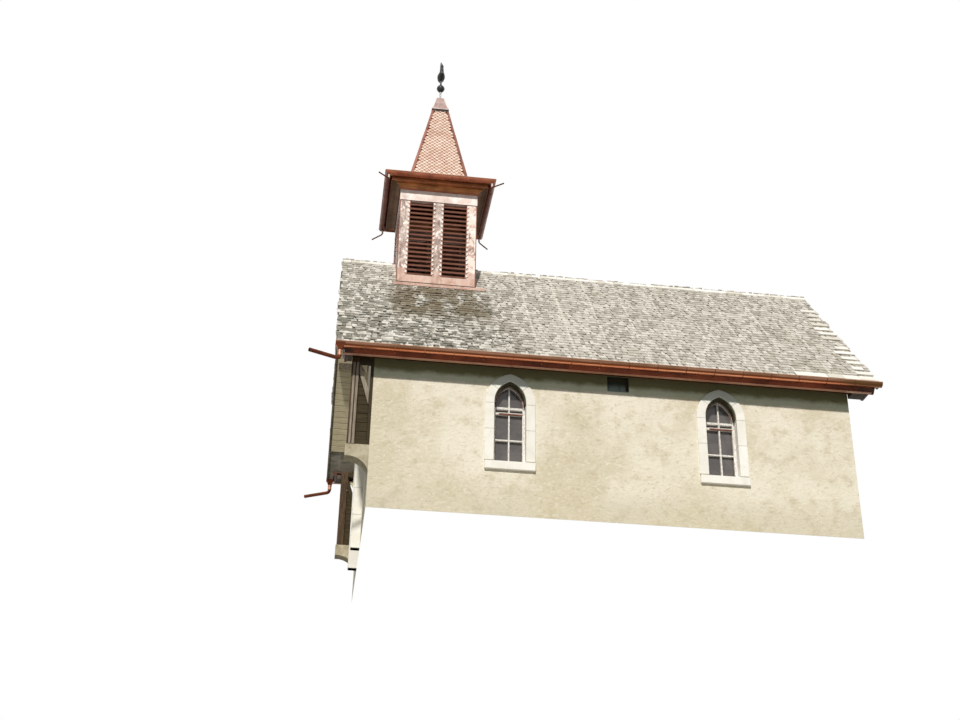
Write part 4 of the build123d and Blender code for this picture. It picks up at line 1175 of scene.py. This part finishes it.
# %% Closed ends of the cornices and collars on the spouts
BOX = [(3.282, 2.9565), (3.282, 3.0735), (3.004, 3.0735), (3.004, 2.9565)]
MOULDING = [(3.289, 2.957), (3.3765, 3.046), (3.3765, 3.0725), (3.255, 3.0725), (3.255, 2.957)]
gutter_low, gutter_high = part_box("front_gutter")
spout_x, spout_y, spout_z = gutter_low.x + 0.0925, 3.4553, gutter_high.z - 0.16
box_ends, fascia_ends, collars = Mould(), Mould(), Mould()
for side in SIDES:
    for start, end in ((-5.282, -5.186), (4.753, 5.032)):
        box_ends.beam(BOX, start, end - start, side, 0.5, 0.004)
    fascia_ends.beam(MOULDING, 5.036, 0.146, side, 0.5, 0.003)
    for top, length, radius, tone in (
        (-0.012, 0.028, 0.046, 0.5), (-0.085, 0.028, 0.044, 0.5), (-0.03, 0.07, 0.0405, 0.9),
    ):
        start = spout_z + top
        collars.post(spout_x, side * spout_y, start, start - length, radius, tone, 16)
# Painted shade: the boxed ends of the cornices are dark copper.
box_ends.cast("cornice_box_ends", "shade_copper", "brown_copper")
fascia_ends.cast("fascia_ends", "eave_copper", "brown_copper")
collars.cast("spout_collars", "drip_copper", "brown_copper")

# %% [markdown]
# ## Copper sheets on the turret
# The bell turret is boarded and then clad in copper sheets no longer than an arm. They
# lap at level seams, meet in mitres below the louvres, and are rolled over a batten at
# each corner. Every sheet has its own tone, which is what makes old copper look
# patched. Dark lips at the folds below the sill and the frieze are painted shade.

# %% The patched copper
patched = Finish(
    "patched_copper", (218, 192, 180), roughness=0.55, metallic=0.12, specular=0.35)
smears = patched.noise(4.5, 5, rough=0.65, distortion=0.5)
pale_spots = patched.noise(7.5, 5, (1, 1, 0.6), 0.6, 0.4)
drops = patched.noise(12, 4, (1, 1, 0.4), 0.6)
mottle = patched.noise(12, 4, (1, 1, 0.5), 0.6, 0.5)
patched.coat((240, 220, 210), patched.tone())
patched.stain((182, 138, 120), smears, 0.50, 0.62, 0, 0.75)
patched.stain((240, 236, 232), pale_spots, 0.53, 0.60, 0, 0.8)
patched.stain((104, 88, 80), drops, 0.55, 0.64, 0, 0.8)
# Darker smears and dark and pale mottling over the west part and along the mullions.
west_edge = patched.span(patched.axis("X"), TURRET_X - 0.80, TURRET_X - 0.55, 1, 0)
mullion = patched.span(patched.off("X", TURRET_X), 0.09, 0.12, 0.8, 0)
west_and_mullion = patched.sums("MAXIMUM", west_edge, mullion)
for tint, *mask in (
    ((152, 132, 122), smears, 0.34, 0.58, 0.35, 0.9),
    ((112, 84, 74), mottle, 0.54, 0.62, 0, 0.7),
    ((246, 240, 234), mottle, 0.36, 0.45, 0.9, 0),
):
    patched.coat(tint, patched.times(west_and_mullion, patched.span(*mask)))
patched.stain((190, 152, 134), patched.axis("Z"), 6.42, 6.50, 0.7, 0)
patched.dent(smears, 0.006, 0.4)
print("patched copper nodes", len(patched.tree.nodes))

# %% Sheets, corner rolls and lips
LOUVRE_PITCH, LOUVRE_TOP = 0.1144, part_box("turret_front_louvres")[1].z
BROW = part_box("turret_frieze")[0].z
BAY_NEAR, BAY_FAR = 0.1075, 0.657
FRONT_COUNT, SIDE_COUNT = 17, 9
EDGE, STILE, MULLION, SEAM, SHEET = 0.862, 0.659, 0.104, 0.003, 0.004
SEAMS_FRONT, SEAMS_SIDE = (0.63, 1.29), (0.52,)
APRON_SHEET = 0.2873


def on_turret(quarter, out=0.0):
    """Places (across, height) on one face of the turret, a little out from it."""
    angle, reach = quarter * UPRIGHT, TURRET_HALF + out
    sine, cosine = math.sin(angle), math.cos(angle)
    return lambda across, height: (
        TURRET_X + across * cosine + reach * sine, across * sine - reach * cosine, height)


sheets, corner_rolls, lips = Mould(), Mould(), Mould()
for quarter in range(4):
    angle = quarter * UPRIGHT
    short = quarter % 2
    count = SIDE_COUNT if short else FRONT_COUNT
    foot = LOUVRE_TOP - count * LOUVRE_PITCH - 0.004
    seams = [foot + rise for rise in (SEAMS_SIDE if short else SEAMS_FRONT)]
    heights = [foot, *seams, BROW - 0.002]

    def sheet(mould, outline, out=0.0004):
        along = (SHEET * math.sin(angle), -SHEET * math.cos(angle), 0)
        mould.prism(outline, along, None, 0.0015, on_turret(quarter, out))

    for side in SIDES:
        for start, end in zip(heights, heights[1:]):
            mitre = 0.2 if start == foot else 0.0
            sheet(sheets, [
                (side * EDGE, start - mitre + 0.004), (side * EDGE, end - SEAM),
                (side * STILE, end - SEAM), (side * STILE, start + 0.002)])
    for start, end in zip(heights, heights[1:]):
        sheet(sheets, block(-MULLION, MULLION, start, end - SEAM))
    sill = foot - 0.2
    sheet(sheets, [(-EDGE, sill), (EDGE, sill), (BAY_FAR, foot - 0.002), (-BAY_FAR, foot - 0.002)])
    if short:
        top = foot - 0.204
        for number in range(6):
            west = -EDGE + number * APRON_SHEET
            east = -EDGE + (number + 1) * APRON_SHEET - SEAM
            floor = [RIDGE - abs(value) * SLOPE + 0.02 for value in (west, east)]
            if min(floor) < top - 0.03:
                outline = [(west, min(floor[0], top)), (east, min(floor[1], top))]
                outline += [(east, top), (west, top)]
                sheet(sheets, [p for n, p in enumerate(outline) if p != outline[n - 1]])
    at_corner, at_sill = on_turret(quarter, 0.003), on_turret(quarter, 0.0004)
    corner_rolls.bar([at_corner(-0.868, 6.08), at_corner(-0.868, BROW)], 0.010, sides=10)
    corner_rolls.bar([at_sill(-EDGE, foot - 0.203), at_sill(EDGE, foot - 0.203)], 0.006)
    # Painted shade: dark lips at the folds below the frieze and the sill.
    if not short:
        for low, high in ((BROW - 0.016, BROW + 0.002), (foot - 0.210, foot - 0.176)):
            sheet(lips, block(-0.866, 0.866, low, high), 0.004)
sheets.cast("turret_sheets", "patched_copper", "pale_copper")
corner_rolls.cast("turret_rolls", "hip_copper", "pale_copper")
lips.cast("turret_shade_lips", "skirt_copper", "pale_copper")

# %% [markdown]
# Bright new tabs are nailed over the ends of the louvre blades: small folded
# triangles, one column of them along each side of every bay. Their near-white colour
# is a painted highlight.

# %% Tabs at the blade ends
def tab(side):
    """A folded triangle nailed at the end of a blade, pointing away from the bay."""
    mould = Mould()
    fold = [(0, 0.0, 0.007), (side * 0.050, -0.046, 0.016), (0, -0.094, 0.024)]
    mould.prism(fold, (0, 0, 0.003), 0.3)
    return mould.mesh()


# Painted highlight: the tabs are near white.
tabs = []
for quarter in range(4):
    count = SIDE_COUNT if quarter % 2 else FRONT_COUNT
    lowest = LOUVRE_TOP - (count - 1) * LOUVRE_PITCH - 0.002
    for edge, side in ((-BAY_FAR, -1), (-BAY_NEAR, 1), (BAY_NEAR, -1), (BAY_FAR, 1)):
        tabs.append(lay(
            "tabs", tab(side), "tab_copper", rows=count, row_pitch=LOUVRE_PITCH,
            slip=0.004, sway=0.05, width_change=0.12, seed=90 + quarter,
            origin=on_turret(quarter)(edge, lowest), facing=(UPRIGHT, 0.0, quarter * UPRIGHT)))
join("louvre_tabs", tabs, "tab_copper")

# %% [markdown]
# The turret's own gutter is made like the long ones, with a pale drop under each
# corner; the near-white colour of the drops is a painted highlight, and the rolled rim
# is pale copper, partly a painted highlight. An apron of four sheets leads the water
# from the turret's foot onto the shingles, and runs on a little past the east corner.

# %% Turret gutter straps, rolls and beads
ring_low, ring_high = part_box("turret_gutter")
ring_radius, ring_rim = ring_high.z - ring_low.z, ring_high.z
ring_centre = (ring_high.x - ring_low.x) / 2 - ring_radius
upper_bead = circle(0.010, 8.634 - ring_rim, -ring_radius + 0.001)
lower_bead = circle(0.012, 8.545 - ring_rim, 0.900 - ring_centre)
# The rolls are pale copper, partly a painted highlight along the rim.
turret_rows = Rows(
    turret_gutter_straps="hip_copper", turret_gutter_rolls="drip_copper",
    turret_cornice_beads="turret_gutter_copper")
for quarter in range(4):
    where = turned_out(quarter, ring_centre, ring_rim, UPRIGHT)
    turret_rows.hang("turret_gutter_straps", strap(ring_radius), 0.012, 4, 0.5, 3, where)
    turret_rows.hang("turret_gutter_rolls", rolled_rim(ring_radius), 0.4985, 5, 0.5015, 4, where)
    turret_rows.hang("turret_cornice_beads", upper_bead, 0.4345, 5, 0.438, 5, where)
    turret_rows.hang("turret_cornice_beads", lower_bead, 0.447, 4, 0.45, 6, where)
turret_rows.join()

# %% The apron at the turret's foot and the drops below its gutter
APRON_NEAR, APRON_FAR, APRON_LIFT = 0.868, 0.985, 0.046
APRON_WEST, APRON_EAST = -0.93, 1.10
APRON_SHEETS = ((APRON_WEST, -0.45), (-0.445, 0.0), (0.005, 0.45), (0.455, APRON_EAST))
apron = Mould()
for side in SIDES:
    for start, end in APRON_SHEETS:
        outline = [
            (TURRET_X + across, side * reach, RIDGE - reach * SLOPE + APRON_LIFT)
            for across, reach in block(start, end, APRON_NEAR, APRON_FAR)]
        apron.prism(outline, (0, side * 0.003, 0.004), softened=0.001)
    y, edge = side * 0.987, RIDGE - APRON_FAR * SLOPE + APRON_LIFT
    apron.bar([(TURRET_X + APRON_WEST, y, edge), (TURRET_X + APRON_EAST, y, edge)], 0.007)
apron.cast("turret_apron", "patched_copper", "pale_copper")
# Painted highlight: the drops under the corners are near white.
drops = Mould()
for east, north in CORNERS:
    x, y = TURRET_X + east * ring_centre, north * ring_centre
    for start, end, radius, tone in ((0.006, 0.085, 0.021, 0.9), (0.004, 0.022, 0.027, 0.5)):
        drops.post(x, y, ring_low.z - start, ring_low.z - end, radius, tone, 12)
drops.cast("turret_drops", "tab_copper", "brown_copper")

# %% [markdown]
# ## Boarded cheeks
# At the west end a post, a brace and level boards close the side of the roof's
# overhang. The boards are dark brown with painted shade in their colour, and the frame
# east of the post's face is painted in the same shade; the brace and the strips on the
# post stand in the sun and have gone grey. A small cream board fills the corner
# between the cornice and the brace.

# %% Boards, strips and brace of the cheeks
BOARD_COUNT, BOARD_GAP, BOARD_REACH = 7, 0.004, 0.22
STRIP_FACE, BRACE_FALL = 2.999, 0.632
frame_low, frame_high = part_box("front_cheek_frame")
board_low, board_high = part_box("front_cheek_boards")
post_west, post_face = frame_low.x, board_low.x
brace_head, brace_foot = board_high.z + 0.32, board_high.z - 0.31
# Painted shade: the frame east of the post's face takes the dark colour of the shaded boards.
timber = finishes["cheek_timber"]
shaded = timber.blend(timber.noise(6, 4), (70, 60, 40), (48, 40, 26))
timber.stain(shaded, timber.axis("X"), post_face - 0.004, post_face + 0.004)
boards, strips, infill = Mould(), Mould(), Mould()
step = (board_high.z - board_low.z) / BOARD_COUNT
for side in SIDES:
    for number in range(BOARD_COUNT):
        low = board_low.z + number * step + BOARD_GAP
        high = board_low.z + (number + 1) * step - BOARD_GAP
        east = []
        for height in (low, high):
            share = (board_high.z + 0.062 - height) / BRACE_FALL
            east.append(min(board_high.x - 0.002, post_face + BOARD_REACH * max(share, 0.06)))
        west = post_face + 0.002
        boards.plate([(west, low), (east[0], low), (east[1], high), (west, high)],
                     side, 2.949, 0.016, 0.004)
    for start, end in ((0.030, 0.072), (0.094, 0.140)):
        low, high = frame_low.z + 0.002, frame_high.z - 0.12
        strip = block(post_west + start, post_west + end, low, high)
        strips.plate(strip, side, STRIP_FACE, 0.013, 0.004)
    brace = [
        (post_face + 0.012, brace_head - 0.03), (post_face + 0.208, brace_foot + 0.04),
        (post_face + 0.208, brace_foot - 0.26), (post_face + 0.012, brace_head - 0.25),
    ]
    strips.plate(brace, side, STRIP_FACE, 0.008, 0.003)
    filled = [(post_face + 0.040, 2.895), (post_face + 0.150, 2.905), (post_face + 0.150, 2.72)]
    infill.plate(filled, side, 2.985, 0.016, 0.002)
boards.cast("cheek_boarding", "sheltered_timber", "dark_timber")
strips.cast("cheek_strips", "silver_timber", "grey_timber")
infill.cast("cheek_infill", "cream_boards", "grey_timber")

# %% [markdown]
# ## Verge and soffit boards
# A pair of barge boards closes each gable under the shingles; their feet are cut level
# above the eave. From below, the overhangs show cream boards laid across them. One row
# of these for each slope and end is again a job for the course tree.

# %% Boards at and under both verges
VERGE_FOOT, SOFFIT_DOWN = 3.085, EAVE_Y - 0.37
SOFFIT_BOARD = [
    (0.004, -0.1005), (0.136, -0.1005), (0.136, -0.1165), (0.128, -0.1185),
    (0.012, -0.1185), (0.004, -0.1165),
]
verge_boards = Mould()
for name in ("west_verge_board", "east_verge_board"):
    low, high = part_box(name)
    top, drop = high.z - 0.002, high.z - low.z - (high.y * SLOPE)
    foot_out = high.y - 0.004
    outline = [
        (0, top), (foot_out, top - foot_out * SLOPE), (foot_out, VERGE_FOOT),
        ((top - drop - VERGE_FOOT) / SLOPE, VERGE_FOOT), (0, top - drop),
    ]
    for side in SIDES:
        verge_boards.beam(outline, low.x + 0.001, high.x - low.x - 0.002, side, softened=0.003)
verge_boards.cast(
    "verge_boards", "grey_timber", "grey_timber",
    replaces=["west_verge_board", "east_verge_board"])

board_rows = []
for side, seed in ((-1, 31), (1, 33)):
    for start, end in ((ROOF_WEST + 0.062, -4.752), (4.752, ROOF_EAST - 0.062)):
        origin = ((start + end) / 2, side * SOFFIT_DOWN, RIDGE - SOFFIT_DOWN * SLOPE)
        board_rows.append(lay(
            "boards", profile_piece(SOFFIT_BOARD, end - start), "cream_boards", rows=32,
            row_pitch=0.14, origin=origin, facing=facing(side), seed=seed))
join("soffit_boards", board_rows, "cream_boards")

# %% [markdown]
# ## West door
# The photo never shows this end. A chapel door of its kind is ledged oak: upright
# planks cut to the arch, long strap hinges with a spear end, rows of studs and a ring.
# The stones round it repeat the windows.

# %% Door planks
PLANK, PLANK_START = 0.181, -0.543
DOOR = (0.55, 0.65)
DOOR_HALF, DOOR_RISE = DOOR
DOOR_SPRING = 1.9
door_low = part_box("door_leaf")[0]


def door_height(across):
    """Height of the pointed door over a place across it."""
    radius = (DOOR_HALF ** 2 + DOOR_RISE ** 2) / (2 * DOOR_HALF)
    reach = min(abs(across) + radius - DOOR_HALF, radius)
    return DOOR_SPRING + math.sqrt(radius ** 2 - reach ** 2)


planks = Mould()
for number in range(6):
    start, end = PLANK_START + number * PLANK, PLANK_START + (number + 1) * PLANK - 0.006
    stops = [start + (end - start) * step / 4 for step in range(5)]
    outline = [(start, door_low.z + 0.01), (end, door_low.z + 0.01)]
    outline += [(y, door_height(y) - 0.008) for y in stops[::-1]]
    planks.end_plate(outline, door_low.x, 0.016, 0.004)
planks.cast("door_planks", "oak_planks", "grey_timber")

# %% Door ironwork
HINGE = [
    (-0.52, -0.028), (-0.52, 0.028), (0.18, 0.016), (0.22, 0.034), (0.34, 0.0),
    (0.22, -0.034), (0.18, -0.016),
]
LOCK = [(0.40, 0.98), (0.46, 0.98), (0.47, 1.05), (0.46, 1.14), (0.40, 1.14), (0.39, 1.05)]
RING_Y, RING_Z, RING = 0.43, 1.04, 0.045
turns = [2 * math.pi * step / 20 for step in range(20)]
iron = two_tone("forged_iron", (58, 54, 50), (84, 76, 68), 12, roughness=0.5, metallic=0.8)
iron.dent(iron.noise(40, 3), 0.002, 0.5)
ironwork, stud = Mould(), Mould()
for height in (0.62, 1.72):
    ironwork.end_plate(HINGE, door_low.x - 0.0165, 0.008, 0.002, height)
    ironwork.post(door_low.x - 0.022, -0.534, height - 0.05, height + 0.05, 0.014, sides=10)
ironwork.end_plate(LOCK, door_low.x - 0.0165, 0.005, 0.001)
x = door_low.x - 0.034
ring = [(x, RING_Y + RING * math.sin(t), RING_Z + RING * math.cos(t)) for t in turns]
ironwork.bar(ring, 0.006, sides=6, closed=True)
ironwork.bar([(door_low.x - out, RING_Y, RING_Z + RING) for out in (0.018, 0.044)], 0.010)
ironwork.cast("door_ironwork", "forged_iron", "dark_timber")
outline = [(0.011 * math.cos(turn), 0.011 * math.sin(turn), 0) for turn in turns[::3]]
stud.prism(outline, (0, 0, 0.006), 0.5, 0.003)
studs = lay(
    "door_studs", stud.mesh(), "forged_iron", columns=6, rows=9, column_pitch=PLANK,
    row_pitch=0.21, sway=0.5, origin=(door_low.x - 0.016, 0.0, 0.34),
    facing=(UPRIGHT, 0.0, -UPRIGHT), seed=44,
)
settle(studs)

# %% Door stones
low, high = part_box("door_surround")
door_outer = ((high.y - low.y) / 2, high.z - DOOR_SPRING)
depth, foot = high.x - low.x, low.z - DOOR_SPRING


def on_gable(face):
    """Places (across, up) of the door on the west gable."""
    return lambda across, up: (face, across, DOOR_SPRING + up)


door_blocks, door_bed = Mould(), Mould()
stone_frame(
    door_blocks, on_gable(low.x - 0.003), (depth, 0, 0), DOOR, door_outer,
    (foot, -1.2, -0.62, -0.04, 0.34, 0.70))
mortar_frame(door_bed, on_gable(low.x + 0.004), (depth - 0.008, 0, 0), DOOR, door_outer, foot)
door_blocks.cast(
    "door_stone_blocks", "dressed_stone", "dressed_stone", replaces=["door_surround"])
door_bed.cast("door_mortar", "mortar", "dressed_stone")

# %% [markdown]
# ## Finial and weathercock
# The ball has a seam round its middle and collars where the rod enters. The cock is
# cut copper; rows of small feathers give its sides some life, and bent wires its tail.
# Those ride on the weathercock body, so they turn with it.

# %% Ball seam and collars
ball_z = cap_high.z + 0.36
dark = copper_finish(
    "finial_metal", (70, 74, 72), (44, 48, 46), (30, 32, 30), 0.3, 8.0, 0.6)
dark.stain((140, 146, 138), dark.axis("Z"), ball_z - 0.13, ball_z - 0.11, 0.25, 0)
wear("finial", "finial_metal")
seams = Mould()
for height, radius, thick in (
    (ball_z, 0.0955, 0.004), (cap_high.z + 0.02, 0.026, 0.012),
    (cap_high.z + 0.06, 0.022, 0.007), (ball_z - 0.10, 0.026, 0.009),
    (ball_z + 0.097, 0.018, 0.007),
):
    path = [(TURRET_X + radius * math.cos(t), radius * math.sin(t), height) for t in turns]
    seams.bar(path, thick, sides=6, closed=True)
seams.cast("finial_collars", "dark_copper", "dark_copper")

# %% Feathers of the cock
cock_z = ball_z + 0.36
BODY_HALF = 0.088
STATIONS = [(-0.20, 0.30), (-0.12, 0.80), (0.0, 1.0), (0.12, 0.75), (0.20, 0.25)]
FEATHER = [(-0.014, 0.0), (-0.017, 0.030), (0.0, 0.052), (0.017, 0.030), (0.014, 0.0)]


def girth(along):
    """Half the thickness of the cock's body at a place along it."""
    for (start, one), (end, two) in zip(STATIONS, STATIONS[1:]):
        if start <= along <= end:
            return BODY_HALF * (one + (two - one) * (along - start) / (end - start))
    return 0.02


plumes = Mould()
for row in range(6):
    along = -0.07 + 0.036 * row
    swelling = (girth(along + 0.05) - girth(along) + 0.006) / 0.05
    for step in range(5):
        lean = math.radians(-44 + 25 * step + 12.5 * (row % 2))
        for side in SIDES:
            outward = Vector((side * math.cos(lean), 0, math.sin(lean)))
            across = Vector((-side * math.sin(lean), 0, math.cos(lean)))
            root = Vector((TURRET_X, along, cock_z)) + outward * (girth(along) - 0.004)
            back = Vector((0, 1, 0)) + outward * swelling
            feather = [root + back * length + across * wide for wide, length in FEATHER]
            plumes.prism(feather, outward * 0.008, softened=0.001)
for share in (1, 0.78, 0.56):
    crown_y, crown_z, end_y = 0.095 * share, 0.6 * share, 0.19 * share
    bend = [
        (0.014, 0.0), (0.030, crown_z * 0.5), (crown_y + 0.006, crown_z - 0.022),
        (end_y - 0.012, crown_z * 0.74), (end_y - 0.002, crown_z * 0.56),
    ]
    for side in SIDES:
        path = [(TURRET_X + side * 0.0135, 0.10 + out, cock_z + up) for out, up in bend]
        plumes.bar(path, 0.0035, sides=6)
plumes.cast("cock_feathers", "dark_copper", "dark_copper", body="weathercock")

# %% [markdown]
# ## Camera, light and floor
# The viewer stands well below the chapel and looks up at it with a long lens. The
# lens and the three turns of the camera come from matching corners of the building.

# %% Camera at the photograph's viewing angle
FOCAL_PIXELS, WIDTH_PIXELS, SENSOR = 1323.3, 960, 36
YAW, TILT, ROLL = 0.1184, 0.4793, -0.0213
VIEWPOINT = (-5.412, -25.828, -8.743)
ahead = Vector((math.sin(YAW) * math.cos(TILT), math.cos(YAW) * math.cos(TILT), math.sin(TILT)))
level = Vector((math.cos(YAW), -math.sin(YAW), 0))
below = ahead.cross(level)
right = math.cos(ROLL) * level + math.sin(ROLL) * below
down = -math.sin(ROLL) * level + math.cos(ROLL) * below
lens = bpy.data.cameras.new("viewer")
lens.sensor_width = SENSOR
lens.lens = FOCAL_PIXELS / WIDTH_PIXELS * SENSOR
lens.clip_end = 500
viewer = show("viewer", lens)
turn = Matrix((right, -down, -ahead)).transposed()
viewer.matrix_world = Matrix.Translation(VIEWPOINT) @ turn.to_4x4()
bpy.context.scene.camera = viewer
bpy.context.scene.view_settings.view_transform = "Standard"
print("lens", round(lens.lens, 2), "mm")

# %% [markdown]
# The sun stands high and a little to the left. Its direction is read from two
# shadows: the eave's on the wall and the turret's on the roof. A wide, soft sun keeps
# their edges gentle, and an even pale sky fills the shade. The camera sees plain white
# behind the building.

# %% Sun and sky
sunlight = Vector((0.277, 1.0, -0.80)).normalized()
sun = bpy.data.lights.new("sun", "SUN")
sun.energy = 3.15
sun.angle = math.radians(2)
sun.color = (1.0, 0.965, 0.90)
show("sun", sun).rotation_euler = sunlight.to_track_quat("-Z", "Y").to_euler()


def seen_rays(wires):
    """1 for rays from the camera, reflections and glass, 0 for rays that carry light.
    The second answer is 1 for camera rays alone."""
    camera, glossy, through = (
        wires.step("ShaderNodeLightPath", out=f"Is {kind} Ray")
        for kind in ("Camera", "Glossy", "Transmission"))
    return wires.sums("MAXIMUM", wires.sums("MAXIMUM", camera, glossy), through), camera


sky = bpy.data.worlds.new("sky")
sky.use_nodes = True
bpy.context.scene.world = sky
sky.node_tree.nodes.clear()
wires = Wiring(sky.node_tree)
fill = wires.step("ShaderNodeBackground", {"Color": (0.90, 0.95, 1.0, 1), "Strength": 0.25})
backdrop = wires.step("ShaderNodeBackground", {"Color": (1, 1, 1, 1), "Strength": 1.0})
seen, _ = seen_rays(wires)
wires.step("ShaderNodeOutputWorld", {
    0: wires.step("ShaderNodeMixShader", {0: seen, 1: fill, 2: backdrop})})
print("sun", [round(v, 2) for v in sunlight])

# %% [markdown]
# The floor is level with the foot of the walls. The viewer looks up from below it,
# so seen from underneath it lets the view through, except under the building, where
# a plain white patch closes the view. From above it is an ordinary pale floor that
# holds the shadow.

# %% Floor
def one_sided_floor(name, underside, half_x, half_y, height):
    """A level sheet, pale from above; the camera sees its underside as given."""
    material = bpy.data.materials.new(name)
    material.use_nodes = True
    material.node_tree.nodes.clear()
    wires = Wiring(material.node_tree)
    pale = wires.step("ShaderNodeBsdfDiffuse", {"Color": (0.80, 0.80, 0.79, 1)})
    quiet = wires.step("ShaderNodeBsdfDiffuse", {"Color": (0.38, 0.38, 0.37, 1)})
    seen, camera = seen_rays(wires)
    facing_up = wires.step("ShaderNodeMixShader", {0: seen, 1: quiet, 2: pale})
    under = wires.times(camera, wires.step("ShaderNodeNewGeometry", out="Backfacing"))
    feeds = {0: under, 1: facing_up, 2: wires.step(underside)}
    wires.step("ShaderNodeOutputMaterial", {0: wires.step("ShaderNodeMixShader", feeds)})
    mesh = bpy.data.meshes.new(name)
    corners = [(east * half_x, north * half_y, height) for east, north in CORNERS]
    mesh.from_pydata(corners, [], [(0, 1, 2, 3)])
    mesh.materials.append(material)
    return show(name, mesh)


ground = one_sided_floor("floor", "ShaderNodeBsdfTransparent", 120, 120, -0.004)
patch = one_sided_floor("floor_patch", "ShaderNodeEmission", 4.75, 3.0, -0.002)
print("floor", ground.dimensions[:])
